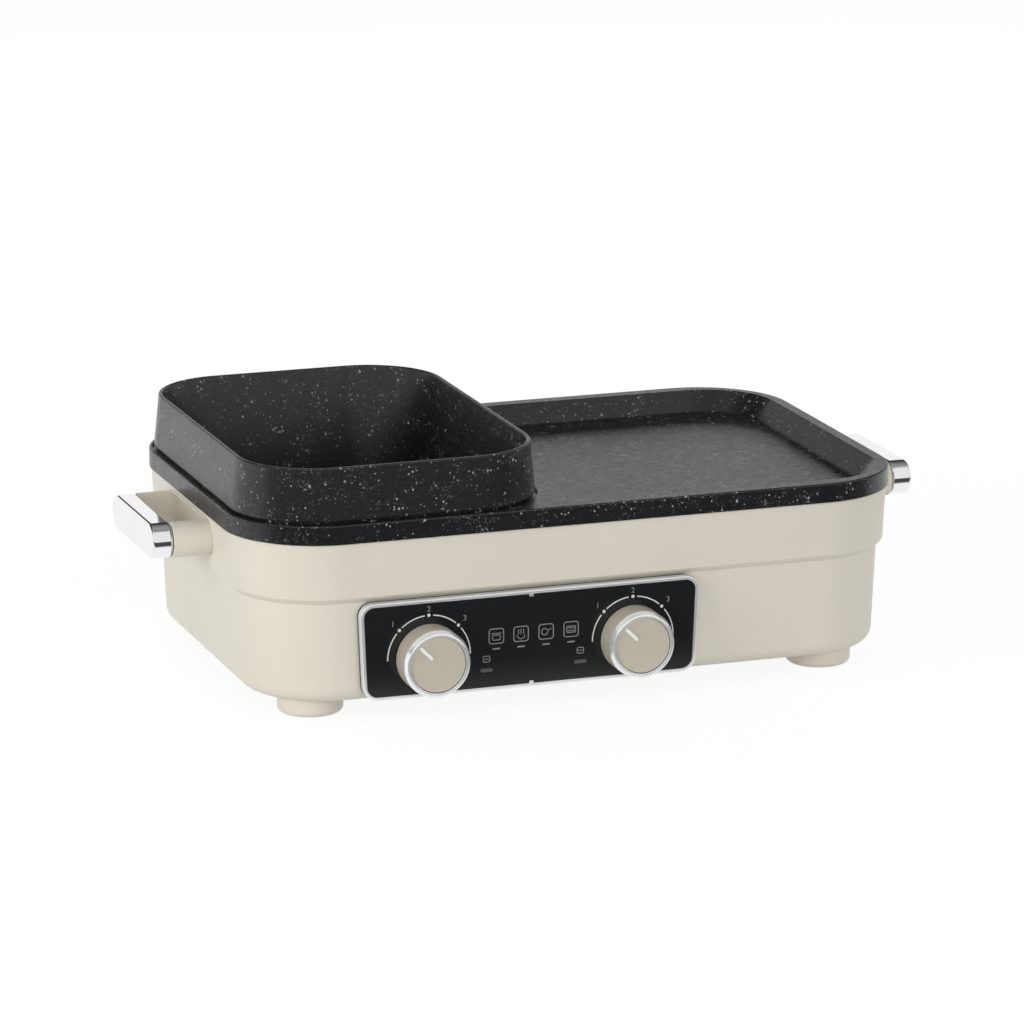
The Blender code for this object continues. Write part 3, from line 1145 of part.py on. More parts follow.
def build():
    """Make every piece of the product."""
    cream = paint("cream", (0.62, 0.57, 0.47), 0.35, 0.0)
    coating = paint("black coating", (0.012, 0.012, 0.013), 0.5, 0.0)
    chrome = paint("chrome", (0.85, 0.86, 0.88), 0.08, 1.0)
    champagne = paint("champagne", (0.55, 0.48, 0.37), 0.3, 0.8)
    gloss_black = paint("gloss black", (0.02, 0.02, 0.02), 0.12, 0.0)
    black_plastic = paint("black plastic", (0.03, 0.03, 0.03), 0.5, 0.0)
    white_plastic = paint("white plastic", (0.8, 0.8, 0.78), 0.5, 0.0)
    phenolic = paint("brown phenolic", (0.12, 0.05, 0.03), 0.6, 0.0)
    steel = paint("steel sheet", (0.6, 0.6, 0.6), 0.35, 1.0)
    screw_steel = paint("zinc steel", (0.65, 0.65, 0.66), 0.3, 1.0)
    element_metal = paint("element sheath", (0.2, 0.19, 0.18), 0.45, 1.0)
    brass = paint("brass", (0.75, 0.6, 0.3), 0.3, 1.0)
    rubber = paint("rubber", (0.04, 0.04, 0.04), 0.8, 0.0)
    lens = paint("lamp lens", (0.12, 0.12, 0.12), 0.2, 0.0)
    ink = paint("pointer", (0.85, 0.85, 0.83), 0.4, 0.0)
    insulation = paint("insulation", (0.7, 0.68, 0.62), 0.6, 0.0)

    make_feet(cream, rubber)
    make_lower_housing(cream)
    make_bottom_cover(steel, screw_steel)
    make_upper_housing(cream)
    floors = {
        "pot": make_well("pot_well", pot_well_section(0.0), POT_WELL_DEPTH, POT_CENTRE_X,
                         -POT_ELEMENT_DEPTH / 2, steel),
        "griddle": make_well("griddle_well", griddle_well_section(0.0), GRIDDLE_WELL_DEPTH,
                             GRIDDLE_CENTRE_X, -GRIDDLE_ELEMENT_DEPTH / 2, steel),
    }
    make_rim_plate(coating)
    make_pot(coating)
    make_elements(floors, element_metal, steel)
    make_handles(cream, chrome, screw_steel)
    make_panel(black_plastic, chrome, gloss_black, lens)
    make_knobs(champagne, chrome, ink, phenolic, screw_steel)
    tab_y = make_inlet(black_plastic, brass)
    make_wiring(floors, tab_y, white_plastic, insulation)


clear_scene()
PARTS = new_collection("hot_pot_grill")
CUTTERS = new_collection("cutters")
CENTRE = bpy.data.objects.new("centre", None)
PARTS.objects.link(CENTRE)
CENTRE.location = (0.0, BODY_SHIFT_Y, 0.0)
BLANK = paint("cutter", (0.5, 0.5, 0.5), 0.5, 0.0)
build()
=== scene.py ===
"""Dressed model of the electric hot pot and griddle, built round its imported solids.

Each sub-assembly is a class that holds its sizes and models its own pieces with Blender's edit-mode
tools. Each finish is a small class that paints one material with nodes. All sizes are metres in the
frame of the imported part: +Z is up, the front faces -Y, and z = 0 is the table.
"""

import json
import logging
import math
from dataclasses import dataclass
from enum import Enum
from typing import Callable, Iterable, Optional, Sequence

import bpy
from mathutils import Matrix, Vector

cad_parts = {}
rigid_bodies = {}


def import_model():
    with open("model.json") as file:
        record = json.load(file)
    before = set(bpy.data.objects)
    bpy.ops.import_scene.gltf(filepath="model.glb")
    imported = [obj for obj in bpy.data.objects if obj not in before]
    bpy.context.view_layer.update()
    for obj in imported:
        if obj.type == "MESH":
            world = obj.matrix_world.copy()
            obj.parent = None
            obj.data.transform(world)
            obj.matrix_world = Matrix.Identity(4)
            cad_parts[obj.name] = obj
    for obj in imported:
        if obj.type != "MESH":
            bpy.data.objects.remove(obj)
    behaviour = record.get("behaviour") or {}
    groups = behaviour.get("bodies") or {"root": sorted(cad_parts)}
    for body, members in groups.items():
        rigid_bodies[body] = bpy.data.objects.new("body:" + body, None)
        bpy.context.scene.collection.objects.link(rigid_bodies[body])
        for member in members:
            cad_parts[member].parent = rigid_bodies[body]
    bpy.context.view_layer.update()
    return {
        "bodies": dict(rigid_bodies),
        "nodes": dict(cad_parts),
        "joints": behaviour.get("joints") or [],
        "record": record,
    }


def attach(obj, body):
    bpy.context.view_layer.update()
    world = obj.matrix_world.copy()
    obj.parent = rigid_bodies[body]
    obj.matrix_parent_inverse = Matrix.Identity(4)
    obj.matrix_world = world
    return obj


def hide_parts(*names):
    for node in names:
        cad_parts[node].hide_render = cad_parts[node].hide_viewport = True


LOG = logging.getLogger("hot_pot")

Pair = tuple[float, float]
Triple = tuple[float, float, float]
Socket = bpy.types.NodeSocket

CENTRE_Y = 0.0109
WELD = 1e-6
CORNER_SEGMENTS = 24
DISC_SEGMENTS = 96
OVERRUN = 0.002
KNOB_PLACES = (-0.1159, 0.0297)
KNOB_HEIGHT = 0.0435
SCREW_RADIUS = 0.0023
SCREW_PLACES = tuple((along, CENTRE_Y + back) for along in (-0.191, 0.191) for back in (-0.055, 0.055))


class Facing(Enum):
    """Which way an outline looks, as the turn that takes +Z there."""

    UP = (0.0, 0.0, 0.0)
    DOWN = (math.pi, 0.0, 0.0)
    FRONT = (math.pi / 2, 0.0, 0.0)
    REAR = (-math.pi / 2, 0.0, 0.0)
    LEFT = (0.0, -math.pi / 2, 0.0)
    RIGHT = (0.0, math.pi / 2, 0.0)

    @property
    def sideways(self) -> bool:
        """True if the outline's first size lies along Z."""
        return self in (Facing.LEFT, Facing.RIGHT)


class Side(Enum):
    """Left or right of the product, seen from its front."""

    LEFT = -1.0
    RIGHT = 1.0

    @property
    def word(self) -> str:
        """Name of the side."""
        return self.name.lower()

    @property
    def outwards(self) -> Facing:
        """Direction away from the middle."""
        return Facing.LEFT if self is Side.LEFT else Facing.RIGHT


class Body(Enum):
    """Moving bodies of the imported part."""

    HOUSING = "housing"
    PLATE = "griddle_plate"
    POT = "pot"
    LEFT_KNOB = "left_knob"
    RIGHT_KNOB = "right_knob"


class Join(Enum):
    """What a second piece does to the first."""

    CUT = "DIFFERENCE"
    WELD = "UNION"


# ---------------------------------------------------------------- moves of a walk


@dataclass(frozen=True)
class Squeeze:
    """Scale of the walked face along X and Y about a point."""

    width: float
    depth: float
    centre: Triple = (0.0, CENTRE_Y, 0.0)


def straight(inset: float, rise: float) -> list[Pair]:
    """One straight run: in by inset, out of the face by rise."""
    return [(inset, rise)]


def up(rise: float) -> list[Pair]:
    """One run straight out of the face."""
    return [(0.0, rise)]


def inwards(inset: float) -> list[Pair]:
    """One run flat inwards."""
    return [(inset, 0.0)]


def arc(radius: float, start: float, end: float, steps: int = 6) -> list[Pair]:
    """Round run that turns from one slope to another.

    Args:
        radius: Radius of the round.
        start: Slope at its start in degrees, 0 straight out of the face and 90 flat inwards.
        end: Slope at its end.
        steps: Number of facets.

    Returns:
        Moves that always go inwards and outwards, never back.
    """
    moves = []
    for index in range(steps):
        here = math.radians(start + (end - start) * index / steps)
        there = math.radians(start + (end - start) * (index + 1) / steps)
        moves.append((radius * abs(math.cos(here) - math.cos(there)),
                      radius * abs(math.sin(there) - math.sin(here))))
    return moves


def sunk(moves: Iterable[Pair]) -> list[Pair]:
    """The same moves, going into the face instead of out of it."""
    return [(inset, -rise) for inset, rise in moves]


# ---------------------------------------------------------------- modelling by hand


def clear_selection() -> None:
    """Leave edit mode and select nothing."""
    if bpy.context.object is not None and bpy.context.object.mode != "OBJECT":
        bpy.ops.object.mode_set(mode="OBJECT")
    bpy.ops.object.select_all(action="DESELECT")


def pick_object(thing: bpy.types.Object) -> None:
    """Leave edit mode and make one object the only one selected."""
    clear_selection()
    thing.select_set(True)
    bpy.context.view_layer.objects.active = thing


def open_new() -> None:
    """Apply the place and size of a new primitive and select all of it in edit mode."""
    bpy.ops.object.transform_apply(location=True, rotation=True, scale=True)
    bpy.ops.object.mode_set(mode="EDIT")
    bpy.ops.mesh.select_all(action="SELECT")


def weld_all() -> None:
    """Select the whole mesh and weld the points that coincide."""
    bpy.ops.mesh.select_all(action="SELECT")
    bpy.ops.mesh.remove_doubles(threshold=WELD)


def face_outwards() -> None:
    """Select the whole mesh and turn its faces outwards."""
    bpy.ops.mesh.select_all(action="SELECT")
    bpy.ops.mesh.normals_make_consistent(inside=False)


class Workpiece:
    """One mesh while it is modelled: an outline, walks of insets, cuts and rounded edges."""

    def __init__(self, thing: bpy.types.Object, name: str) -> None:
        """Take over the object that a primitive has just made."""
        self.thing = thing
        thing.name = name
        thing.data.name = name

    @classmethod
    def rounded(cls, name: str, centre: Sequence[float], size: Pair, corner: float,
                facing: Facing, low_ratio: float = 1.0, turn: float = 0.0,
                segments: int = CORNER_SEGMENTS) -> "Workpiece":
        """Start from a plane whose corners are bevelled round.

        Args:
            name: Name of the piece.
            centre: Middle of the outline.
            size: Size along X or Y, and along the other axis of the outline.
            corner: Corner radius.
            facing: Way that the face looks.
            low_ratio: Width of the lower edge as a share of the upper edge.
            turn: Turn about Y in degrees, for a face that looks to the front.
            segments: Facets of each corner.

        Returns:
            The workpiece, in edit mode, with its one face selected.
        """
        clear_selection()
        spin = (facing.value[0], facing.value[1] - math.radians(turn), facing.value[2])
        bpy.ops.mesh.primitive_plane_add(size=1.0, location=centre, rotation=spin)
        piece = cls(bpy.context.object, name)
        first, second = (size[1], size[0]) if facing.sideways else size
        piece.thing.scale = (first, second, 1.0)
        open_new()
        if low_ratio != 1.0:
            piece.pick_verts(lambda place: place.z < centre[2])
            bpy.ops.transform.resize(value=(low_ratio, 1.0, 1.0), center_override=centre)
        bpy.ops.mesh.select_all(action="SELECT")
        if corner > 0.0:
            bpy.ops.mesh.bevel(offset=corner, segments=segments, profile=0.5, affect="VERTICES")
            weld_all()
            bpy.ops.mesh.select_all(action="SELECT")
        return piece

    @classmethod
    def disc(cls, name: str, centre: Sequence[float], radius: float, facing: Facing,
             segments: int = DISC_SEGMENTS) -> "Workpiece":
        """Start from a filled circle."""
        clear_selection()
        bpy.ops.mesh.primitive_circle_add(vertices=segments, radius=radius, fill_type="NGON",
                                          location=centre, rotation=facing.value)
        piece = cls(bpy.context.object, name)
        open_new()
        return piece

    @classmethod
    def block(cls, name: str, low: Sequence[float], high: Sequence[float]) -> "Workpiece":
        """Start from a box between two corners."""
        clear_selection()
        middle = [(a + b) / 2 for a, b in zip(low, high)]
        bpy.ops.mesh.primitive_cube_add(size=1.0, location=middle)
        piece = cls(bpy.context.object, name)
        piece.thing.scale = [abs(b - a) for a, b in zip(low, high)]
        open_new()
        return piece

    def edit(self) -> None:
        """Go into edit mode on this piece."""
        if bpy.context.object is not self.thing or self.thing.mode != "EDIT":
            pick_object(self.thing)
            bpy.ops.object.mode_set(mode="EDIT")

    def walk(self, *runs: Iterable[Pair] | Squeeze) -> "Workpiece":
        """Inset and raise, or squeeze, the selected face along each run in turn."""
        self.edit()
        for run in runs:
            if isinstance(run, Squeeze):
                bpy.ops.transform.resize(value=(run.width, run.depth, 1.0), center_override=run.centre)
                continue
            for inset, rise in run:
                bpy.ops.mesh.inset(thickness=inset, depth=rise)
        return self

    def flip_and_walk(self, *runs: Iterable[Pair]) -> "Workpiece":
        """Walk a flipped copy of the start face, then leave the start face selected.

        The walked half is hidden until close_up welds the two.
        """
        self.edit()
        bpy.ops.mesh.duplicate()
        bpy.ops.mesh.flip_normals()
        self.walk(*runs)
        bpy.ops.mesh.select_linked()
        bpy.ops.mesh.hide(unselected=False)
        bpy.ops.mesh.select_all(action="SELECT")
        return self

    def drop_face(self) -> "Workpiece":
        """Delete the selected face."""
        self.edit()
        bpy.ops.mesh.delete(type="FACE")
        return self

    def close_up(self) -> "Workpiece":
        """Show both halves again and weld them."""
        self.edit()
        bpy.ops.mesh.reveal()
        weld_all()
        return self

    def bridge_ends(self) -> "Workpiece":
        """Join the two open loops of a ring."""
        self.edit()
        bpy.ops.mesh.select_mode(type="EDGE")
        bpy.ops.mesh.select_all(action="DESELECT")
        bpy.ops.mesh.select_non_manifold(extend=False)
        bpy.ops.mesh.bridge_edge_loops()
        bpy.ops.mesh.select_mode(type="VERT")
        face_outwards()
        return self

    def pick_verts(self, test: Callable[[Vector], bool]) -> None:
        """Select the points that pass a test of their place."""
        bpy.ops.mesh.select_mode(type="VERT")
        bpy.ops.mesh.select_all(action="DESELECT")
        bpy.ops.object.mode_set(mode="OBJECT")
        for vert in self.thing.data.vertices:
            vert.select = test(vert.co)
        bpy.ops.object.mode_set(mode="EDIT")

    def modify(self, kind: str, **settings: object) -> "Workpiece":
        """Apply one modifier with these settings."""
        pick_object(self.thing)
        change = self.thing.modifiers.new("change", kind)
        for name, value in settings.items():
            setattr(change, name, value)
        bpy.ops.object.modifier_apply(modifier=change.name)
        return self

    def wall(self, thickness: float) -> "Workpiece":
        """Give an open surface a wall on its inner side."""
        return self.modify("SOLIDIFY", thickness=thickness, offset=-1.0, use_even_offset=True)

    def seal(self) -> "Workpiece":
        """Fill the open end of a walk and turn all faces outwards."""
        self.edit()
        bpy.ops.mesh.select_mode(type="VERT")
        bpy.ops.mesh.select_all(action="SELECT")
        bpy.ops.mesh.fill_holes(sides=0)
        face_outwards()
        return self

    def combine(self, how: Join, *tools: "Workpiece") -> "Workpiece":
        """Cut or weld other pieces, which are used up."""
        for tool in tools:
            tool.seal()
            self.modify("BOOLEAN", operation=how.value, solver="EXACT", object=tool.thing)
            bpy.data.objects.remove(tool.thing, do_unlink=True)
        return self

    def drill(self, spot: Sequence[float], radius: float, facing: Facing, *runs: Iterable[Pair],
              segments: int = 24) -> "Workpiece":
        """Cut a round hole that starts at a spot and follows the runs."""
        return self.combine(Join.CUT, Workpiece.disc("hole", spot, radius, facing, segments).walk(*runs))

    def both_ways(self, behind: Iterable[Iterable[Pair]], *ahead: Iterable[Pair]) -> "Workpiece":
        """Walk the start face's flipped copy and then the face, and weld the two halves."""
        return self.flip_and_walk(*behind).walk(*ahead).close_up()

    def copy(self, name: str, shift: Sequence[float]) -> "Workpiece":
        """Copy with its own mesh, moved by a shift."""
        pick_object(self.thing)
        bpy.ops.object.duplicate(linked=False)
        twin = Workpiece(bpy.context.object, name)
        twin.thing.location = shift
        bpy.ops.object.transform_apply(location=True, rotation=False, scale=False)
        return twin

    def join(self, *others: "Workpiece") -> "Workpiece":
        """Make several loose pieces one object."""
        pick_object(self.thing)
        for other in others:
            other.thing.select_set(True)
        bpy.ops.object.join()
        return self

    def finish(self, look: "Finish", body: Body, *replaced: str, smooth: float = 35.0,
               recalculate: bool = True) -> bpy.types.Object:
        """Clean, shade, paint and mount the piece.

        Args:
            look: Its finish.
            body: Body that it rides on.
            replaced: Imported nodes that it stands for.
            smooth: Edges flatter than this many degrees are shaded round.
            recalculate: Turn all faces outwards first.

        Returns:
            The finished object.
        """
        pick_object(self.thing)
        bpy.ops.object.mode_set(mode="EDIT")
        bpy.ops.mesh.reveal()
        bpy.ops.mesh.select_mode(type="VERT")
        weld_all()
        if recalculate:
            face_outwards()
        bpy.ops.object.mode_set(mode="OBJECT")
        bpy.ops.object.shade_smooth_by_angle(angle=math.radians(smooth))
        self.modify("WEIGHTED_NORMAL", keep_sharp=True)
        self.thing.data.materials.clear()
        self.thing.data.materials.append(look.material())
        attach(self.thing, body.value)
        if replaced:
            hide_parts(*replaced)
        LOG.info("%s: %d faces, on %s", self.thing.name, len(self.thing.data.polygons), body.value)
        return self.thing


# ---------------------------------------------------------------- finishes


class Graph:
    """Node tree of one material, with short calls that add and join its nodes."""

    def __init__(self, name: str) -> None:
        """Start a material with its Principled shader."""
        self.paint = bpy.data.materials.new(name)
        self.paint.use_nodes = True
        self.tree = self.paint.node_tree
        self.shader = self.tree.nodes["Principled BSDF"]
        self.place = self.tree.nodes.new("ShaderNodeTexCoord").outputs["Object"]

    def add(self, kind: str, **inputs: object) -> bpy.types.Node:
        """New node, with some of its inputs set or linked."""
        node = self.tree.nodes.new("ShaderNode" + kind)
        for name, value in inputs.items():
            self.feed(node.inputs[name], value)
        return node

    def feed(self, socket: Socket, value: object) -> None:
        """Link an output into a socket, or set the socket's own value."""
        if isinstance(value, Socket):
            self.tree.links.new(value, socket)
        else:
            socket.default_value = value

    def calc(self, operation: str, *values: object) -> Socket:
        """Math node."""
        node = self.add("Math")
        node.operation = operation
        for socket, value in zip(node.inputs, values):
            self.feed(socket, value)
        return node.outputs[0]

    def stretch(self, scale: Sequence[float]) -> Socket:
        """Object coordinates scaled along each axis."""
        return self.add("Mapping", Vector=self.place, Scale=scale).outputs["Vector"]

    def noise(self, scale: float, detail: float = 2.0, rough: float = 0.5,
              where: Optional[Socket] = None) -> Socket:
        """Grey noise with so many lumps to the metre."""
        return self.add("TexNoise", Vector=where or self.place, Scale=scale, Detail=detail,
                        Roughness=rough).outputs["Fac"]

    def spread(self, value: Socket, low: float, high: float, to_low: float = 0.0,
               to_high: float = 1.0) -> Socket:
        """Map a range onto another and clamp it."""
        node = self.add("MapRange")
        for index, number in enumerate((value, low, high, to_low, to_high)):
            self.feed(node.inputs[index], number)
        return node.outputs["Result"]

    def blend(self, share: Socket, low: object, high: object) -> Socket:
        """Mix two colours."""
        node = self.add("Mix")
        node.data_type = "RGBA"
        self.feed(node.inputs["Factor"], share)
        self.feed(node.inputs[6], (*low, 1.0) if isinstance(low, tuple) else low)
        self.feed(node.inputs[7], (*high, 1.0) if isinstance(high, tuple) else high)
        return node.outputs[2]

    def emboss(self, height: Socket, depth: float, strength: float = 1.0) -> None:
        """Bump the surface by a height, on top of any bump already there."""
        node = self.add("Bump", Strength=strength, Distance=depth, Height=height)
        already = self.shader.inputs["Normal"].links
        if already:
            self.feed(node.inputs["Normal"], already[0].from_socket)
        self.feed(self.shader.inputs["Normal"], node.outputs["Normal"])

    def edges(self) -> Socket:
        """High on convex edges, where a painted highlight goes."""
        return self.spread(self.add("NewGeometry").outputs["Pointiness"], 0.52, 0.60)

    def mix(self, share: Socket, low: Socket,
            high: Socket) -> Socket:
        """Mix two shaders."""
        node = self.add("MixShader")
        for socket, source in zip(node.inputs, (share, low, high)):
            self.feed(socket, source)
        return node.outputs[0]


class Sky(Graph):
    """Node tree of the world."""

    def __init__(self) -> None:
        """Start an empty world."""
        world = bpy.data.worlds.new("studio")
        bpy.context.scene.world = world
        world.use_nodes = True
        self.tree = world.node_tree
        self.tree.nodes.clear()
        self.parts = self.add("SeparateXYZ", Vector=self.add("TexCoord").outputs["Generated"]).outputs

    def background(self, colour: object) -> Socket:
        """Background shader in a colour."""
        return self.add("Background", Color=colour, Strength=1.0).outputs[0]

    def bands(self, *stops: Pair) -> Socket:
        """Background in greys by the height of the direction."""
        ramp = self.add("ValToRGB", Fac=self.parts["Z"])
        elements = ramp.color_ramp.elements
        while len(elements) < len(stops):
            elements.new(0.5)
        for element, (where, level) in zip(elements, stops):
            element.position = where
            element.color = (level, level, level, 1.0)
        return self.background(ramp.outputs["Color"])


def shade(colour: Triple, factor: float) -> Triple:
    """A colour made lighter or darker."""
    return tuple(min(1.0, part * factor) for part in colour)


@dataclass(frozen=True)
class Finish:
    """Plain moulded surface: colour that drifts a little, with fine grain in gloss and relief, and a painted
    highlight on convex edges.
    """

    name: str
    slot: str
    colour: Triple
    roughness: float
    metallic: float = 0.0
    drift: float = 0.04
    grain: float = 1800.0
    grain_depth: float = 0.00002
    specular: float = 0.5
    edge_highlight: float = 0.05

    def material(self) -> bpy.types.Material:
        """The finish's material, made on first use."""
        known = bpy.data.materials.get(self.name)
        if known is not None:
            return known
        graph = Graph(self.name)
        graph.shader.inputs["Metallic"].default_value = self.metallic
        graph.shader.inputs["Specular IOR Level"].default_value = self.specular
        self.detail(graph)
        return graph.paint

    def detail(self, graph: Graph) -> None:
        """Paint the colour, gloss and relief."""
        cloud = graph.noise(14.0, 3.0)
        fleck = graph.noise(self.grain, 1.0)
        tint = graph.blend(cloud, shade(self.colour, 1.0 - self.drift), shade(self.colour, 1.0 + self.drift))
        tint = graph.blend(graph.spread(fleck, 0.35, 0.65, 0.0, self.drift * 2), tint,
                           shade(self.colour, 1.25))
        # Painted highlight: convex edges are made lighter, standing in for light catching them.
        tint = graph.blend(graph.calc("MULTIPLY", graph.edges(), self.edge_highlight), tint,
                           shade(self.colour, 1.4))
        graph.feed(graph.shader.inputs["Base Color"], tint)
        gloss = graph.spread(graph.noise(90.0, 4.0), 0.3, 0.7, self.roughness * 0.92,
                             self.roughness * 1.08)
        graph.feed(graph.shader.inputs["Roughness"], gloss)
        graph.emboss(fleck, self.grain_depth)


@dataclass(frozen=True)
class Coating(Finish):
    """Black non-stick coating strewn with clusters of pale stone flecks.

    Each size of fleck is given as cells to the metre, radius, rarity and brightness.
    """

    fleck_sizes: tuple = ((640.0, 0.44, 1.0, 0.16), (380.0, 0.34, 1.5, 0.62), (170.0, 0.18, 2.4, 0.8))

    def flecks(self, graph: Graph, cells: float, size: float, rarity: float,
               where: Socket, cluster: Socket) -> Socket:
        """One size of fleck.

        Args:
            graph: Tree of the material.
            cells: Possible flecks to the metre along each axis.
            size: Largest fleck radius as a share of a cell.
            rarity: Power of the random size; the higher, the fewer large flecks.
            where: Texture coordinates, already made ragged.
            cluster: Share that lets flecks gather.

        Returns:
            Brightness of the flecks, 0 between them.
        """
        node = graph.add("TexVoronoi", Vector=where, Scale=cells)
        parts = graph.add("SeparateColor", Color=node.outputs["Color"]).outputs
        chance = graph.calc("POWER", parts[0], rarity)
        radius = graph.calc("MULTIPLY", graph.calc("MULTIPLY", chance, size), cluster)
        inside = graph.calc("SUBTRACT", radius, node.outputs["Distance"])
        mask = graph.spread(inside, 0.0, size * 0.22)
        return graph.calc("MULTIPLY", mask, graph.spread(parts[1], 0.0, 1.0, 0.25, 1.0))

    def detail(self, graph: Graph) -> None:
        """Paint the ground, three sizes of fleck and the fine orange peel."""
        ragged = graph.add("TexNoise", Vector=graph.place, Scale=1500.0, Detail=2.0)
        offset = graph.add("VectorMath")
        offset.operation = "MULTIPLY_ADD"
        graph.feed(offset.inputs[0], ragged.outputs["Color"])
        offset.inputs[1].default_value = (0.0009, 0.0009, 0.0009)
        graph.feed(offset.inputs[2], graph.place)
        where = offset.outputs["Vector"]
        cluster = graph.spread(graph.noise(75.0, 2.0), 0.36, 0.62, 0.45, 1.25)
        light = 0.0
        for cells, size, rarity, level in self.fleck_sizes:
            layer = self.flecks(graph, cells, size, rarity, where, cluster)
            light = graph.calc("MAXIMUM", light, graph.calc("MULTIPLY", layer, level))
        ground = graph.blend(graph.noise(25.0, 3.0), shade(self.colour, 0.8), shade(self.colour, 1.25))
        graph.feed(graph.shader.inputs["Base Color"], graph.blend(light, ground, (0.62, 0.62, 0.60)))
        gloss = graph.spread(graph.noise(220.0, 3.0), 0.3, 0.7, self.roughness * 0.88,
                             self.roughness * 1.12)
        graph.feed(graph.shader.inputs["Roughness"], gloss)
        graph.emboss(graph.noise(self.grain, 2.0), self.grain_depth)
        graph.emboss(light, 0.00003, 0.6)


@dataclass(frozen=True)
class Brushed(Finish):
    """Metal with fine streaks along one axis."""

    streaks: Triple = (60.0, 2600.0, 2600.0)
    streak_share: float = 0.10

    def detail(self, graph: Graph) -> None:
        """Paint the streaks, smudges and heat drift."""
        streak = graph.noise(1.0, 3.0, 0.6, graph.stretch(self.streaks))
        smudge = graph.noise(35.0, 4.0, 0.55)
        tint = graph.blend(graph.spread(streak, 0.3, 0.7), shade(self.colour, 1.0 - self.streak_share),
                           shade(self.colour, 1.0 + self.streak_share * 0.5))
        tint = graph.blend(graph.spread(smudge, 0.4, 0.75, 0.0, self.drift), tint,
                           shade(self.colour, 0.72))
        graph.feed(graph.shader.inputs["Base Color"], tint)
        gloss = graph.calc("ADD", graph.spread(streak, 0.3, 0.7, self.roughness * 0.9,
                                               self.roughness * 1.1),
                           graph.spread(smudge, 0.45, 0.8, 0.0, self.roughness * 0.35))
        graph.feed(graph.shader.inputs["Roughness"], gloss)
        graph.emboss(streak, self.grain_depth)


CREAM = Finish("cream satin plastic", "cream", (0.710, 0.669, 0.578), 0.42, drift=0.045, grain=1000.0,
               grain_depth=0.00006)
COATING = Coating("stone flecked coating", "black_coating", (0.0090, 0.0095, 0.0110), 0.30,
                  grain=1400.0, grain_depth=0.00002, specular=0.5)
CHROME = Brushed("polished chrome", "chrome", (0.86, 0.865, 0.88), 0.055, 1.0, drift=0.12,
                 grain_depth=0.000001, streak_share=0.01)
# Plated trim made part diffuse with a pale base: the pale diffuse part is a painted reflection, so rings and
# bezel show white all round.
TRIM_WITH_PAINTED_REFLECTION = Brushed("bright plated trim", "chrome", (0.88, 0.885, 0.90), 0.12, 0.55, drift=0.10,
                      grain_depth=0.000001, streak_share=0.01)
CHAMPAGNE = Finish("champagne satin", "champagne", (0.62, 0.57, 0.47), 0.36, 0.20, drift=0.05,
                   grain=3200.0, grain_depth=0.000015)
GLOSS_BLACK = Finish("gloss black plate", "gloss_black", (0.0110, 0.0125, 0.0135), 0.16, drift=0.10,
                     grain=600.0, grain_depth=0.000001, specular=0.4, edge_highlight=0.02)
BLACK_PLASTIC = Finish("black moulded plastic", "black_plastic", (0.022, 0.022, 0.023), 0.48,
                       drift=0.10, grain=1600.0)
PRINT_WHITE = Finish("white print", "white_plastic", (0.66, 0.66, 0.64), 0.5, drift=0.06,
                     grain=2600.0, grain_depth=0.000004)
PRINT_GREY = Finish("grey print", "white_plastic", (0.21, 0.215, 0.22), 0.5, drift=0.10, grain=2600.0,
                    grain_depth=0.000004)
WHITE_PLASTIC = Finish("white moulded plastic", "white_plastic", (0.74, 0.73, 0.70), 0.45)
POINTER = Finish("pointer ink", "pointer_ink", (0.86, 0.86, 0.85), 0.35, drift=0.03)
LENS = Finish("unlit lamp lens", "lamp_lens", (0.085, 0.088, 0.092), 0.22, drift=0.12, grain=900.0)
PHENOLIC = Finish("brown phenolic", "phenolic", (0.115, 0.048, 0.028), 0.55, drift=0.16, grain=1100.0,
                  grain_depth=0.00005)
RUBBER = Finish("pad rubber", "rubber", (0.035, 0.035, 0.036), 0.82, drift=0.14, grain=1300.0,
                grain_depth=0.00006)
INSULATION = Finish("wire insulation", "insulation", (0.66, 0.64, 0.58), 0.55, drift=0.05)
STEEL = Brushed("brushed steel sheet", "steel_sheet", (0.60, 0.60, 0.60), 0.30, 1.0, drift=0.25,
                grain_depth=0.000004)
ZINC = Brushed("zinc plated steel", "zinc_steel", (0.64, 0.645, 0.66), 0.32, 1.0, drift=0.35,
               streaks=(900.0, 900.0, 900.0), grain_depth=0.000004)
SHEATH = Brushed("heat darkened sheath", "element_sheath", (0.20, 0.185, 0.175), 0.42, 1.0, drift=0.55,
                 streaks=(700.0, 700.0, 700.0), grain_depth=0.00001)
BRASS = Brushed("brass strip", "brass", (0.74, 0.58, 0.29), 0.28, 1.0, drift=0.3, grain_depth=0.000003)


# ---------------------------------------------------------------- sub-assemblies


@dataclass
class Outline:
    """Rounded rectangle round a point, seen from above."""

    half_x: float
    half_y: float
    corner: float
    centre_x: float = 0.0

    def start(self, name: str, height: float, facing: Facing) -> Workpiece:
        """Start a workpiece from this outline at a height."""
        return Workpiece.rounded(name, (self.centre_x, CENTRE_Y, height),
                                 (self.half_x * 2, self.half_y * 2), self.corner, facing)

    def grown(self, by: float) -> "Outline":
        """The outline moved outwards by a distance."""
        return Outline(self.half_x + by, self.half_y + by, self.corner + by, self.centre_x)


RIM = Outline(0.2385, 0.15385, 0.066)
POT_FOOT = Outline(0.1065, 0.14895, 0.059, -0.1279)
POT_RIM = Outline(0.1028, 0.14635, 0.054, -0.1279)
POT_BODY = Outline(0.0947, 0.13695, 0.047, -0.1279)
GRIDDLE = Outline(0.12115, 0.14265, 0.050, 0.10845)
POT_WELL = Outline(0.0972, 0.13945, 0.0485, -0.1279)
GRIDDLE_WELL = Outline(0.11725, 0.13875, 0.0461, 0.10845)
DECK_TOP = 0.1260
PLATE_BOTTOM = 0.1263
PLATE_TOP = 0.1395


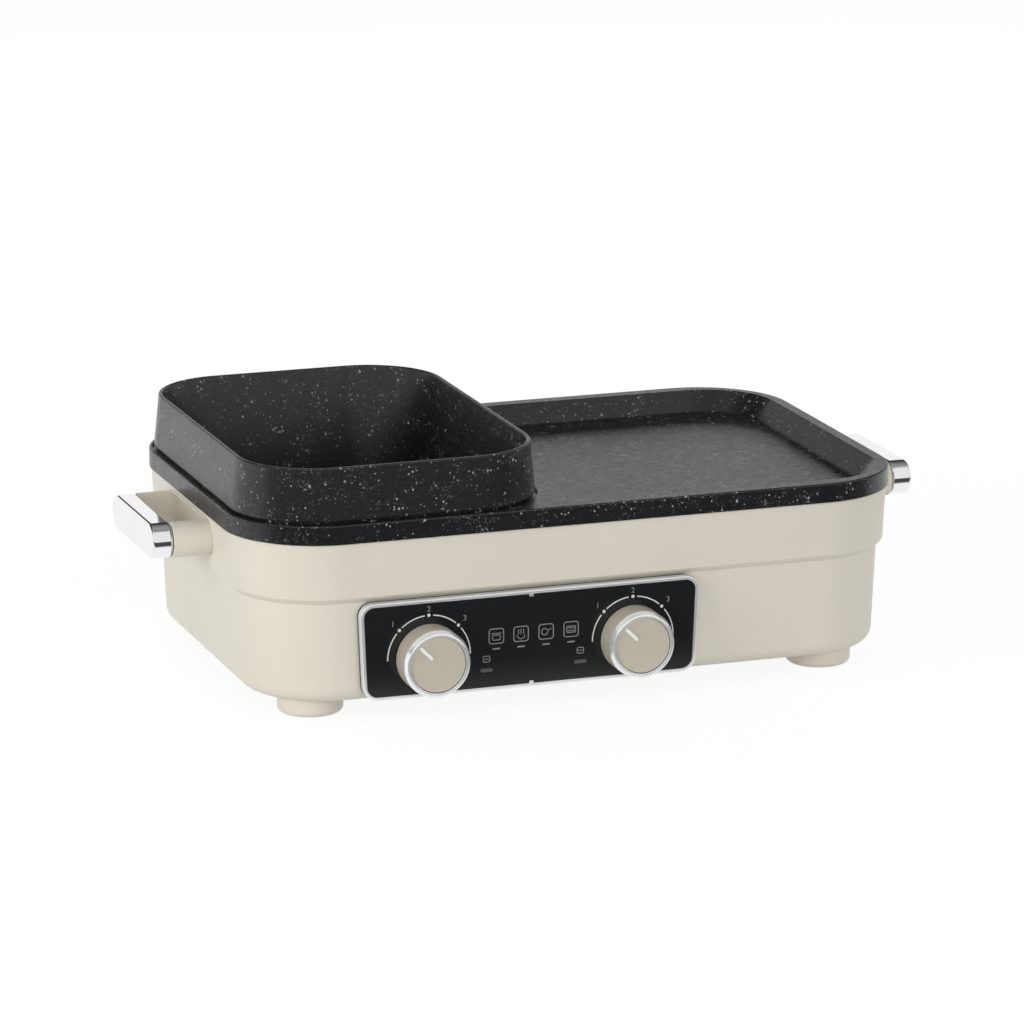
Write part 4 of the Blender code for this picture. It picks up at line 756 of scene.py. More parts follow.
@dataclass
class Housing:
    """Two cream shells, one standing proud of the other."""

    upper: Outline = None
    lower: Outline = None
    tier_split: float = 0.08375
    lower_top: float = 0.0837
    base: float = 0.0143
    wall: float = 0.003
    edge: float = 0.0008
    draft: float = 0.0017
    chamfer_inset: float = 0.0045
    chamfer_height: float = 0.0042
    chamfer_round: float = 0.0018
    lower_draft: float = 0.0028
    bottom_round: float = 0.010
    window_grow: float = 0.0011
    boss_height: float = 0.009
    boss_radius: float = 0.0045
    boss_edge: float = 0.0006
    boss_hole: float = 0.010
    bracket_window: Triple = (0.1100, 0.0260, 0.1066)
    bracket_start: float = 0.2303
    bracket_run: float = 0.0087
    panel_window: tuple[Pair, Pair] = ((-0.0432, 0.0499), (0.2280, 0.0532))
    panel_corner: float = 0.0045
    panel_ratio: float = 0.978
    inlet_window: tuple[Pair, Pair] = ((0.1052, 0.03695), (0.1348, 0.05905))

    def __post_init__(self) -> None:
        """Set the two tiers' outlines from the rim's."""
        self.upper = RIM.grown(-0.0015)
        self.lower = RIM.grown(-0.0015 - self.draft - self.chamfer_inset)

    def build(self) -> None:
        """Model both tiers."""
        self.build_upper()
        self.build_lower()

    def build_upper(self) -> None:
        """Deck and drafted skirt, its lower edge chamfered in to the lower tier."""
        slope = math.degrees(math.atan2(self.chamfer_inset, self.chamfer_height))
        height = DECK_TOP - self.edge - self.tier_split
        bend = arc(self.chamfer_round, 0.0, slope, 4)
        bend_in = sum(inset for inset, _ in bend)
        bend_out = sum(rise for _, rise in bend)
        lip = 0.0004
        skirt = height - self.chamfer_height - bend_out / 2
        run_in = self.chamfer_inset - bend_in - lip
        run_out = height - skirt - bend_out - lip
        shell = self.upper.start("upper_shell", DECK_TOP - self.edge, Facing.DOWN)
        shell.flip_and_walk(arc(self.edge, 0.0, 90.0, 4))
        shell.walk(straight(self.draft, skirt), bend, straight(run_in, run_out),
                   arc(lip, 0.0, 90.0, 3))
        shell.drop_face().close_up().wall(self.wall)
        for name, outline in (("pot_window", POT_WELL), ("griddle_window", GRIDDLE_WELL)):
            hole = outline.grown(self.window_grow).start(name, DECK_TOP + OVERRUN, Facing.DOWN)
            shell.combine(Join.CUT, hole.walk(up(self.wall + OVERRUN * 2)))
        middle, high, long = self.bracket_window
        for side in Side:
            slot = Workpiece.rounded("bracket_window", (side.value * self.bracket_start, CENTRE_Y, middle),
                                     (long, high), high / 2, side.outwards)
            shell.combine(Join.CUT, slot.walk(up(self.bracket_run)))
        shell.finish(CREAM, Body.HOUSING, "upper_housing")

    def build_lower(self) -> None:
        """Tub with a large bottom round and windows for panel, cover and inlet."""
        tub = self.lower.start("lower_tub", self.lower_top, Facing.DOWN)
        wall_run = self.lower_top - self.base - self.bottom_round
        tub.walk(up(wall_run), Squeeze(1.0 - self.lower_draft / self.lower.half_x, 1.0),
                 arc(self.bottom_round, 0.0, 90.0, 10))
        tub.close_up().wall(self.wall)
        front = CENTRE_Y - self.lower.half_y
        rear = CENTRE_Y + self.lower.half_y
        floor = Outline(0.182, 0.064, 0.012).start("cover_window", self.base - OVERRUN, Facing.UP)
        floor.walk(up(self.wall + OVERRUN * 2))
        (x, z), size = self.panel_window
        plug = Workpiece.rounded("panel_window", (x, front - OVERRUN, z), size, self.panel_corner,
                                 Facing.REAR, self.panel_ratio)
        plug.walk(up(self.wall + OVERRUN * 2))
        (left, low), (right, high) = self.inlet_window
        inlet = Workpiece.block("inlet_window", (left, rear - self.wall - OVERRUN, low),
                                (right, rear + OVERRUN, high))
        tub.combine(Join.CUT, floor, plug, inlet)
        for x, y in SCREW_PLACES:
            boss = Workpiece.disc("boss", (x, y, self.base + self.wall / 2), self.boss_radius,
                                  Facing.UP, 32)
            boss.walk(up(self.wall / 2 + self.boss_height - self.boss_edge),
                      arc(self.boss_edge, 0.0, 90.0, 3))
            tub.combine(Join.WELD, boss)
            tub.drill((x, y, self.base - OVERRUN), SCREW_RADIUS, Facing.UP,
                      up(self.boss_hole + OVERRUN))
        tub.finish(CREAM, Body.HOUSING, "lower_housing")


@dataclass
class Base:
    """Feet, rubber pads and the vented bottom cover."""

    foot_places: Pair = (0.185, 0.107)
    foot_radius: float = 0.0225
    foot_top: float = 0.0140
    foot_bottom: float = 0.0008
    foot_round: float = 0.004
    pad_radius: float = 0.0145
    pad_height: float = 0.002
    cover: Outline = None
    vent_size: Pair = (0.040, 0.004)
    vent_pitch: float = 0.016
    vent_column: float = 0.100
    cut_start: float = 0.010
    cut_run: float = 0.006

    def __post_init__(self) -> None:
        """Set the cover's outline."""
        self.cover = Outline(0.200, 0.073, 0.012)

    def build(self) -> None:
        """Model one foot and one pad, copy them to the corners, then the cover."""
        step_x, step_y = self.foot_places
        words = (("front_left", -1, -1), ("front_right", 1, -1), ("rear_left", -1, 1),
                 ("rear_right", 1, 1))
        first = (-step_x, CENTRE_Y - step_y)
        foot = Workpiece.disc("foot", (*first, self.foot_top), self.foot_radius, Facing.DOWN)
        land = self.foot_radius - self.foot_round - self.pad_radius - 0.0006
        foot.both_ways([inwards(0.0035)],
                       up(self.foot_top - self.foot_bottom - self.foot_round),
                       arc(self.foot_round, 0.0, 90.0, 8), inwards(land),
                       sunk(arc(0.0003, 90.0, 0.0, 2)), sunk(up(0.0012)))
        pad = Workpiece.disc("pad", (*first, self.pad_height), self.pad_radius, Facing.DOWN)
        pad.both_ways([inwards(0.002)], up(self.pad_height - 0.0004),
                      arc(0.0004, 0.0, 90.0, 3), inwards(0.004),
                      sunk(arc(0.0003, 0.0, 90.0, 2)), inwards(0.002), arc(0.0003, 90.0, 0.0, 2))
        for word, along, back in words:
            shift = ((along + 1) * step_x, (back + 1) * step_y, 0.0)
            foot.copy("foot_turned_" + word, shift).finish(CREAM, Body.HOUSING, "foot_" + word)
            pad.copy("pad_" + word, shift).finish(RUBBER, Body.HOUSING, "foot_pad_" + word)
        for master in (foot, pad):
            bpy.data.objects.remove(master.thing, do_unlink=True)
        self.build_cover()

    def build_cover(self) -> None:
        """Pressed sheet with rows of round-ended vents and a raised border."""
        plate = self.cover.start("vented_cover", 0.0125, Facing.DOWN)
        plate.flip_and_walk(up(0.0012), arc(0.0003, 0.0, 90.0, 2))
        plate.close_up()
        slot = Workpiece.rounded("vent", (-self.vent_column, CENTRE_Y - 2 * self.vent_pitch,
                                          self.cut_start),
                                 self.vent_size, self.vent_size[1] / 2, Facing.UP, segments=8)
        slot.walk(up(self.cut_run))
        slots = [slot]
        for column in range(3):
            for row in range(5):
                if column or row:
                    slots.append(slot.copy("vent", (column * self.vent_column, row * self.vent_pitch,
                                                    0.0)))
        plate.combine(Join.CUT, slots[0].join(*slots[1:]))
        for x, y in SCREW_PLACES:
            plate.drill((x, y, self.cut_start), SCREW_RADIUS, Facing.UP, up(self.cut_run))
        plate.finish(STEEL, Body.HOUSING, "bottom_cover")


@dataclass
class GriddlePlate:
    """Black cast plate: skirt, griddle recess, and the seat and opening for the pot."""

    edge: float = 0.0012
    wall: float = 0.003
    deck: float = 0.004
    slope_degrees: float = 40.0
    slope_depth: float = 0.01264
    slope_inset: float = 0.0106
    lip: float = 0.0008
    floor_round: float = 0.003
    pan_grow: float = 0.0008
    pan_run: Pair = (0.0088, 0.01409)
    pan_slope: float = 32.0
    drain_place: Pair = (0.2125, CENTRE_Y - 0.0730)
    drain_size: Pair = (0.0056, 0.0030)
    drain_corner: float = 0.0012
    drain_run: float = 0.0160
    seat_edge: float = 0.0006
    seat_gap: float = 0.0013
    seat_sink: float = 0.002
    lift_gap: float = 0.001

    def build(self) -> None:
        """Model the plate."""
        rise = PLATE_TOP - PLATE_BOTTOM
        plate = RIM.start("cast_plate", PLATE_BOTTOM, Facing.UP)
        plate.both_ways([inwards(self.wall / 2)], up(rise - self.edge),
                        arc(self.edge, 0.0, 90.0, 6))
        hollow = RIM.grown(-self.wall).start("underside", PLATE_BOTTOM - OVERRUN, Facing.UP)
        hollow.walk(up(rise - self.deck + OVERRUN))
        plate.combine(Join.CUT, hollow)
        pan = GRIDDLE.grown(self.pan_grow).start("pan", PLATE_TOP - self.deck / 2, Facing.DOWN)
        pan.walk(straight(*self.pan_run), arc(self.floor_round, self.pan_slope, 90.0, 5))
        plate.combine(Join.WELD, pan)
        recess = GRIDDLE.grown(self.lip * 0.25).start("recess", PLATE_TOP + OVERRUN, Facing.DOWN)
        recess.walk(up(OVERRUN), arc(self.lip, 90.0, self.slope_degrees, 4),
                    straight(self.slope_inset, self.slope_depth),
                    arc(self.floor_round, self.slope_degrees, 90.0, 6))
        plate.combine(Join.CUT, recess)
        opening = POT_BODY.grown(self.lift_gap).start("opening", PLATE_TOP + OVERRUN, Facing.DOWN)
        opening.walk(up(OVERRUN * 2 + self.deck))
        edge = self.seat_edge
        seat = POT_FOOT.grown(self.seat_gap + edge).start("seat", PLATE_TOP + OVERRUN, Facing.DOWN)
        seat.walk(up(OVERRUN), arc(edge, 90.0, 0.0, 4),
                  up(self.seat_sink - edge))
        plate.combine(Join.CUT, opening, seat)
        drain = Workpiece.rounded("drain", (*self.drain_place, PLATE_TOP), self.drain_size,
                                  self.drain_corner, Facing.DOWN, segments=8)
        drain.walk(up(self.drain_run))
        plate.combine(Join.CUT, drain)
        plate.finish(COATING, Body.PLATE, "rim_plate")


@dataclass
class HotPot:
    """Deep pot: tapering body, flange that stands in the seat, and a leaning collar."""

    foot_level: float = 0.1378
    top: float = 0.1770
    foot_round: float = 0.0008
    groove: float = 0.0012
    groove_height: float = 0.0030
    rim_round: float = 0.001
    rim_wall: float = 0.0032
    rim_lean: float = 0.0035
    wall: float = 0.0035
    waist_lean: float = 0.0045
    taper: float = 0.007
    bottom: float = 0.0853
    bottom_round: float = 0.012

    def squeeze(self, start: Outline, inset: float, end: Outline) -> Squeeze:
        """Squeeze that takes an outline, once drawn in by an inset, to another."""
        return Squeeze(end.half_x / (start.half_x - inset), end.half_y / (start.half_y - inset),
                       (start.centre_x, CENTRE_Y, 0.0))

    def build(self) -> None:
        """Model the collar, weld the body below it and cut the cavity out of both."""
        neck = self.foot_level - self.bottom - self.bottom_round
        skirt = self.foot_level + self.groove_height + self.foot_round
        rise = self.top - skirt - self.rim_round
        pot = POT_FOOT.start("deep_pot", skirt, Facing.UP)
        pot.flip_and_walk(arc(self.foot_round, 0.0, 90.0, 4), inwards(self.groove),
                          up(self.groove_height), inwards(0.002))
        pot.walk(straight(self.rim_lean, rise), self.squeeze(POT_FOOT, self.rim_lean, POT_RIM),
                 arc(self.rim_round, 0.0, 90.0, 6), inwards(self.rim_wall / 3))
        pot.close_up()
        body = POT_BODY.start("body", self.foot_level + OVERRUN, Facing.DOWN)
        body.walk(up(OVERRUN), straight(self.taper, neck),
                  arc(self.bottom_round, 0.0, 90.0, 10))
        mouth = POT_RIM.grown(-self.rim_wall)
        waist = POT_BODY.grown(-self.wall)
        cavity = mouth.grown(self.rim_round).start("cavity", self.top + OVERRUN, Facing.DOWN)
        cavity.walk(up(OVERRUN), arc(self.rim_round, 90.0, 0.0, 6),
                    straight(self.waist_lean, self.top - self.rim_round - self.foot_level),
                    self.squeeze(mouth, self.waist_lean, waist), straight(self.taper, neck),
                    arc(self.bottom_round - self.wall, 0.0, 90.0, 10))
        pot.combine(Join.WELD, body).combine(Join.CUT, cavity)
        pot.finish(COATING, Body.POT, "hot_pot")


@dataclass
class Handles:
    """Cream brackets with a finger pocket, and the chrome bars screwed to them."""

    middle: float = 0.1100
    half_length: float = 0.053
    bracket_height: float = 0.0254
    bracket_edge: float = 0.0006
    root: float = 0.2300
    skin: float = 0.2370
    reach: float = 0.2630
    arm_width: float = 0.0107
    pocket_depth: float = 0.006
    pocket_lip: float = 0.002
    bar_start: float = 0.2633
    bar_depth: float = 0.0145
    bar_height: float = 0.0245
    bar_edge: float = 0.0022
    sink_radius: float = 0.0041
    sink_depth: float = 0.003
    bar_hole: float = 0.0078

    def build(self) -> None:
        """Model both handles."""
        for side in Side:
            self.build_bracket(side)
            self.build_bar(side)

    def stadium(self, name: str, side: Side, start: float, height: float) -> Workpiece:
        """Bullnosed outline that looks outwards."""
        return Workpiece.rounded(name, (side.value * start, CENTRE_Y, self.middle),
                                 (self.half_length * 2, height), height / 2,
                                 side.outwards)

    def build_bracket(self, side: Side) -> None:
        """Arms with round ends, with the finger gap and pocket cut out."""
        arms = self.stadium("bracket_" + side.word, side, self.root, self.bracket_height)
        arms.both_ways([inwards(0.001)], up(self.reach - self.root - self.bracket_edge),
                       arc(self.bracket_edge, 0.0, 90.0, 3))
        finger = self.half_length - self.arm_width
        gap = Workpiece.rounded("gap", (side.value * self.skin, CENTRE_Y, self.middle),
                                (finger * 2, self.bracket_height + OVERRUN * 2), 0.0,
                                side.outwards)
        gap.walk(up(self.reach - self.skin + OVERRUN))
        pocket = Workpiece.rounded("pocket", (side.value * (self.skin + OVERRUN), CENTRE_Y, self.middle),
                                   (finger * 2, self.bracket_height - self.pocket_lip * 2), 0.004,
                                   Facing.RIGHT if side is Side.LEFT else Facing.LEFT, segments=8)
        pocket.walk(up(self.pocket_depth + OVERRUN - 0.002), arc(0.002, 0.0, 90.0, 4))
        arms.combine(Join.CUT, gap, pocket)
        for along in (-1, 1):
            place = CENTRE_Y + along * (self.half_length - self.arm_width / 2)
            arms.drill((side.value * (self.root - OVERRUN), place, self.middle), self.sink_radius,
                       side.outwards, up(self.sink_depth + OVERRUN),
                       inwards(self.sink_radius - SCREW_RADIUS), up(0.032), segments=32)
        arms.finish(CREAM, Body.HOUSING, "handle_bracket_" + side.word)

    def build_bar(self, side: Side) -> None:
        """Solid bar with round ends and softened edges."""
        bar = self.stadium("bar_" + side.word, side, self.bar_start + self.bar_edge, self.bar_height)
        end = [arc(self.bar_edge, 0.0, 90.0, 8), inwards(0.0004)]
        bar.both_ways(end, up(self.bar_depth - self.bar_edge * 2), *end)
        for along in (-1, 1):
            place = CENTRE_Y + along * (self.half_length - self.arm_width / 2)
            bar.drill((side.value * (self.bar_start - OVERRUN), place, self.middle), SCREW_RADIUS,
                      side.outwards, up(self.bar_hole + OVERRUN))
        bar.finish(CHROME, Body.HOUSING, "handle_bar_" + side.word)


@dataclass
class ControlPanel:
    """Black frame, chrome bezel, gloss plate, printed dials and icons, and two lamps."""

    centre_x: float = -0.0432
    top_width: float = 0.242
    bottom_ratio: float = 0.2365 / 0.242
    bottom: float = 0.0163
    top: float = 0.0835
    corner: float = 0.010
    frame_back: float = -0.13555
    frame_front: float = -0.14125
    bezel_back: float = -0.13780
    bezel_front: float = -0.14355
    face_front: float = -0.14325
    bezel_width: float = 0.0024
    seam: float = 0.0003
    bush_radius: float = 0.0049
    shaft_radius: float = 0.0035
    dial_radius: float = 0.0292
    print_depth: float = 0.00005
    lamp_places: Pair = (-0.0752, -0.0081)
    lamp_height: float = 0.0306
    icon_places: tuple[float, ...] = (-0.0682, -0.0506, -0.0327, -0.0148)
    icon_height: float = 0.0538

    def outline(self, name: str, inset: float, depth: float, facing: Facing) -> Workpiece:
        """Tapered panel outline, drawn in by an inset, at a depth."""
        height = self.top - self.bottom - inset * 2
        width = self.top_width - inset * 2
        ratio = (self.top_width * self.bottom_ratio - inset * 2) / width
        return Workpiece.rounded(name, (self.centre_x, depth, (self.top + self.bottom) / 2),
                                 (width, height), max(self.corner - inset, 0.003), facing, ratio)

    def build(self) -> None:
        """Model the layers from the back to the front."""
        self.build_frame()
        self.build_bezel()
        self.build_face()
        self.build_prints()
        self.build_lamps()

    def build_frame(self) -> None:
        """Moulded frame with softened front edge and a hollow plug behind it."""
        edge = 0.0005
        frame = self.outline("panel_moulding", 0.0, self.frame_back, Facing.FRONT)
        frame.flip_and_walk(inwards(0.0075), up(0.006), inwards(0.0024),
                            sunk(up(0.0087)))
        step = self.bezel_back + self.seam
        frame.walk(up(self.frame_back - step), inwards(self.bezel_width + self.seam),
                   up(step - self.frame_front - edge), arc(edge, 0.0, 90.0, 4))
        frame.close_up()
        for place in KNOB_PLACES:
            frame.drill((place, self.frame_front - OVERRUN, KNOB_HEIGHT), self.bush_radius, Facing.REAR,
                        up(0.010), segments=32)
        for place in self.lamp_places:
            slot = Workpiece.block("lamp_slot", (place - 0.0048, self.frame_front - OVERRUN, 0.0290),
                                   (place + 0.0048, self.frame_front + 0.008, 0.0322))
            frame.combine(Join.CUT, slot)
        frame.finish(BLACK_PLASTIC, Body.HOUSING, "panel_frame")

    def build_bezel(self) -> None:
        """Chrome trim ring with a rolled front, and its two locating tabs."""
        depth = self.bezel_back - self.bezel_front
        ring = self.outline("bezel_ring", 0.0, self.bezel_back, Facing.FRONT)
        outer, inner = 0.0009, 0.0005
        ring.walk(up(depth - outer), arc(outer, 0.0, 90.0, 6),
                  inwards(self.bezel_width - outer - inner), sunk(arc(inner, 90.0, 0.0, 4)),
                  sunk(up(depth - inner)))
        ring.drop_face().bridge_ends()
        tabs = []
        for height in (self.top - self.bezel_width - 0.0006, self.bottom + self.bezel_width + 0.0006):
            tab = Workpiece.rounded("tab", (self.centre_x, self.face_front - 0.00002, height),
                                    (0.0032, 0.0024), 0.0008, Facing.FRONT, segments=6)
            tabs.append(tab.both_ways([inwards(0.0002)], arc(0.0002, 0.0, 90.0, 3)))
        ring.join(*tabs)
        # The trim's pale diffuse part is a painted reflection of bright surroundings.
        ring.finish(TRIM_WITH_PAINTED_REFLECTION, Body.HOUSING, "panel_bezel")

    def build_face(self) -> None:
        """Gloss plate with an eased edge and the holes for shafts and lamps."""
        edge = 0.0003
        inset = self.bezel_width + self.seam
        back = self.frame_front - self.seam
        face = self.outline("face_plate", inset, back, Facing.FRONT)
        face.both_ways([inwards(0.001)], up(back - self.face_front - edge),
                       arc(edge, 0.0, 90.0, 3))
        for place in KNOB_PLACES:
            face.drill((place, self.face_front - OVERRUN, KNOB_HEIGHT), self.shaft_radius, Facing.REAR,
                       up(0.006), segments=32)
        for place in self.lamp_places:
            slot = Workpiece.rounded("lamp_slot", (place, self.face_front - OVERRUN, self.lamp_height),
                                     (0.0096, 0.0032), 0.0012, Facing.REAR, segments=6)
            face.combine(Join.CUT, slot.walk(up(0.006)))
        face.finish(GLOSS_BLACK, Body.HOUSING, "panel_face")

    def stroke(self, start: Pair, end: Pair, width: float) -> Workpiece:
        """Printed straight line with round ends, on the plate."""
        dx, dz = end[0] - start[0], end[1] - start[1]
        length = math.hypot(dx, dz) + width
        middle = ((start[0] + end[0]) / 2, self.face_front, (start[1] + end[1]) / 2)
        line = Workpiece.rounded("stroke", middle, (length, width), width / 2, Facing.FRONT,
                                 turn=math.degrees(math.atan2(dz, dx)), segments=4)
        return line.walk(straight(width * 0.08, self.print_depth)).seal()

    def loop(self, centre: Pair, size: Pair, corner: float,
             width: float) -> Workpiece:
        """Printed outline of a rounded rectangle."""
        ring = Workpiece.rounded("loop", (centre[0], self.face_front, centre[1]), size, corner,
                                 Facing.FRONT, segments=8)
        ring.walk(up(self.print_depth), inwards(width),
                  sunk(up(self.print_depth)))
        return ring.drop_face().bridge_ends()

    def sweep(self, centre: Pair, radius: float, start: float, end: float,
              width: float) -> Workpiece:
        """Printed arc, spun from its cross-section.

        Args:
            centre: Middle of the dial.
            radius: Radius of the arc's middle line.
            start: Angle at its start in degrees.
            end: Angle at its end in degrees.
            width: Width of the line.

        Returns:
            The arc.
        """
        angle = math.radians(start)
        thick = self.print_depth
        place = (centre[0] + radius * math.cos(angle), self.face_front - thick / 2,
                 centre[1] + radius * math.sin(angle))
        clear_selection()
        bpy.ops.mesh.primitive_plane_add(size=1.0, location=place, rotation=(0.0, -angle, 0.0))
        piece = Workpiece(bpy.context.object, "sweep")
        piece.thing.scale = (width, thick, 1.0)
        open_new()
        steps = max(4, int(abs(end - start) / 2.0))
        bpy.ops.mesh.spin(steps=steps, angle=math.radians(end - start),
                          center=(centre[0], self.face_front, centre[1]), axis=(0.0, 1.0, 0.0))
        face_outwards()
        return piece

    def spot(self, place: Pair, radius: float) -> Workpiece:
        """Printed dot."""
        dot = Workpiece.disc("spot", (place[0], self.face_front, place[1]), radius, Facing.FRONT, 24)
        return dot.walk(straight(radius * 0.06, self.print_depth)).seal()

    def numeral(self, text: str, place: Pair, height: float) -> Workpiece:
        """Printed digit."""
        clear_selection()
        bpy.ops.object.text_add(location=(place[0], self.face_front, place[1]),
                                rotation=Facing.FRONT.value)
        letter = bpy.context.object
        letter.data.body = text
        letter.data.size = height * 1.38
        letter.data.align_x = "CENTER"
        letter.data.align_y = "CENTER"
        letter.data.extrude = self.print_depth / 2
        bpy.ops.object.convert(target="MESH")
        bpy.ops.object.transform_apply(location=True, rotation=True, scale=True)
        return Workpiece(bpy.context.object, "numeral")

    def build_prints(self) -> None:
        """Dial arcs, dots and digits, four icons with their bars, and the lamp marks."""
        white, grey = [], []
        for dial in KNOB_PLACES:
            centre = (dial, KNOB_HEIGHT)
            for start, end in ((180.0, 141.0), (130.5, 96.0), (84.0, 49.5), (39.0, 0.0)):
                white.append(self.sweep(centre, self.dial_radius, start, end, 0.0008))
            for digit, angle, reach in (("1", 135.5, 0.0356), ("2", 90.0, 0.0334), ("3", 44.5, 0.0356)):
                turn = math.radians(angle)
                dot = (dial + self.dial_radius * math.cos(turn),
                       KNOB_HEIGHT + self.dial_radius * math.sin(turn))
                white.append(self.spot(dot, 0.00115))
                mark = (dial + reach * math.cos(turn), KNOB_HEIGHT + reach * math.sin(turn))
                grey.append(self.numeral(digit, mark, 0.0040))
        for index, place in enumerate(self.icon_places):
            grey.extend(self.icon(index, place))
        line, level = 0.0006, self.lamp_height + 0.0078
        for place in self.lamp_places:
            grey.append(self.loop((place, level), (0.0052, 0.0046), 0.0012, line))
            grey.append(self.stroke((place - 0.0013, level), (place + 0.0013, level), line))
        for name, drawn, ink in (("dial_prints", white, PRINT_WHITE), ("icon_prints", grey, PRINT_GREY)):
            drawn[0].join(*drawn[1:])
            drawn[0].thing.name = name
            drawn[0].finish(ink, Body.HOUSING)

    def icon(self, index: int, x: float) -> list[Workpiece]:
        """One rounded square with a plain cooking sign, and the bar below it."""
        z = self.icon_height
        line = 0.0006
        drawn = [self.loop((x, z), (0.0110, 0.0110), 0.0022, 0.0007),
                 self.stroke((x - 0.0022, z - 0.0088), (x + 0.0022, z - 0.0088), 0.0011)]
        if index == 0:
            drawn.append(self.loop((x, z - 0.0010), (0.0062, 0.0040), 0.0014, line))
            drawn.append(self.stroke((x - 0.0034, z + 0.0019), (x + 0.0034, z + 0.0019), line))
        elif index == 1:
            for step in (-0.0018, 0.0, 0.0018):
                drawn.append(self.stroke((x + step, z), (x + step, z + 0.0030), line))
            drawn.append(self.sweep((x, z - 0.0006), 0.0028, 180.0, 360.0, line))
        elif index == 2:
            drawn.append(self.sweep((x - 0.0010, z), 0.0022, 0.0, 358.0, line))
            drawn.append(self.stroke((x + 0.0014, z + 0.0006), (x + 0.0036, z + 0.0020), line))
        else:
            drawn.append(self.loop((x, z), (0.0068, 0.0050), 0.0010, line))
            for step in (-0.0010, 0.0010):
                drawn.append(self.stroke((x - 0.0022, z + step), (x + 0.0022, z + step), line))
        return drawn

    def build_lamps(self) -> None:
        """Two oblong lenses that stand just behind the plate's face."""
        for place, word in zip(self.lamp_places, ("left", "right")):
            lens = Workpiece.rounded("lens_" + word, (place, -0.13525, self.lamp_height),
                                     (0.0090, 0.0026), 0.0010, Facing.FRONT, segments=6)
            lens.both_ways([inwards(0.0003)], up(0.0080), arc(0.0003, 0.0, 90.0, 3))
            lens.finish(LENS, Body.HOUSING, "indicator_lens_" + word)


@dataclass
class Knobs:
    """Champagne caps with chrome rings and white pointers."""

    height: float = KNOB_HEIGHT
    back: float = -0.14385
    depth: float = 0.0209
    radius: float = 0.0233
    ring_width: float = 0.0038
    ring_depth: float = 0.0042
    ring_proud: float = 0.0012
    pointer_size: Pair = (0.0122, 0.0025)
    pointer_start: float = 0.006
    pointer_seat: float = -0.16385
    pointer_angle: float = 135.0
    seam: float = 0.0003

    def build(self) -> None:
        """Model both knobs."""
        for place, body in zip(KNOB_PLACES, (Body.LEFT_KNOB, Body.RIGHT_KNOB)):
            for build in (self.build_cap, self.build_ring, self.build_pointer):
                build(place, body.name.split("_")[0].lower(), body)

    def build_cap(self, place: float, word: str, body: Body) -> None:
        """Hollow cap: skirt, rabbet for the ring, and a slightly dished face."""
        edge = 0.0008
        inner = self.radius - self.ring_width - self.seam
        rabbet = self.depth - self.ring_depth - self.seam
        face = self.depth - self.ring_proud
        cap = Workpiece.disc("cap_" + word, (place, self.back, self.height), self.radius, Facing.FRONT)
        cap.flip_and_walk(inwards(0.0036), sunk(up(0.0160)), inwards(0.0080),
                          up(0.0150), inwards(0.0023), sunk(up(0.0150)))
        cap.walk(up(rabbet - 0.0003), arc(0.0003, 0.0, 90.0, 2),
                 inwards(self.radius - inner - 0.0003), up(face - rabbet - edge),
                 arc(edge, 0.0, 90.0, 6), inwards(0.0006), sunk(straight(0.0040, 0.00012)),
                 inwards(0.0040))
        cap.close_up()
        cap.finish(CHAMPAGNE, body, "knob_" + word, recalculate=False)

    def build_ring(self, place: float, word: str, body: Body) -> None:
        """Chrome ring: side that tapers forwards, and a narrow crowned front."""
        rear = self.back - self.depth + self.ring_depth
        taper, crown, inner = 0.0014, 0.00035, 0.0003
        bend = arc(0.0003, 25.0, 70.0, 5)
        bend_in, bend_out = (sum(move[part] for move in bend) for part in (0, 1))
        band = (self.ring_width - taper - bend_in - inner) / 2
        ring = Workpiece.disc("ring_" + word, (place, rear, self.height), self.radius, Facing.FRONT)
        ring.walk(up(0.0006), straight(taper, self.ring_depth - 0.0006 - bend_out - crown),
                  bend, straight(band, crown), inwards(band * 0.6),
                  sunk(straight(band * 0.4, crown / 3)), sunk(arc(inner, 90.0, 0.0, 4)),
                  sunk(up(self.ring_depth - inner - crown / 3)))
        ring.drop_face().bridge_ends()
        # The trim's pale diffuse part is a painted reflection of bright surroundings.
        ring.finish(TRIM_WITH_PAINTED_REFLECTION, body, "knob_ring_" + word)

    def build_pointer(self, place: float, word: str, body: Body) -> None:
        """Raised white bar with round ends."""
        length, width = self.pointer_size
        angle = math.radians(self.pointer_angle)
        middle = self.pointer_start + length / 2
        spot = (place + middle * math.cos(angle), self.pointer_seat,
                self.height + middle * math.sin(angle))
        bar = Workpiece.rounded("pointer_" + word, spot, self.pointer_size, width / 2, Facing.FRONT,
                                turn=self.pointer_angle, segments=8)
        bar.both_ways([inwards(0.0002)], up(0.0005), arc(0.0003, 0.0, 90.0, 4))
        bar.finish(POINTER, body, "knob_pointer_" + word)


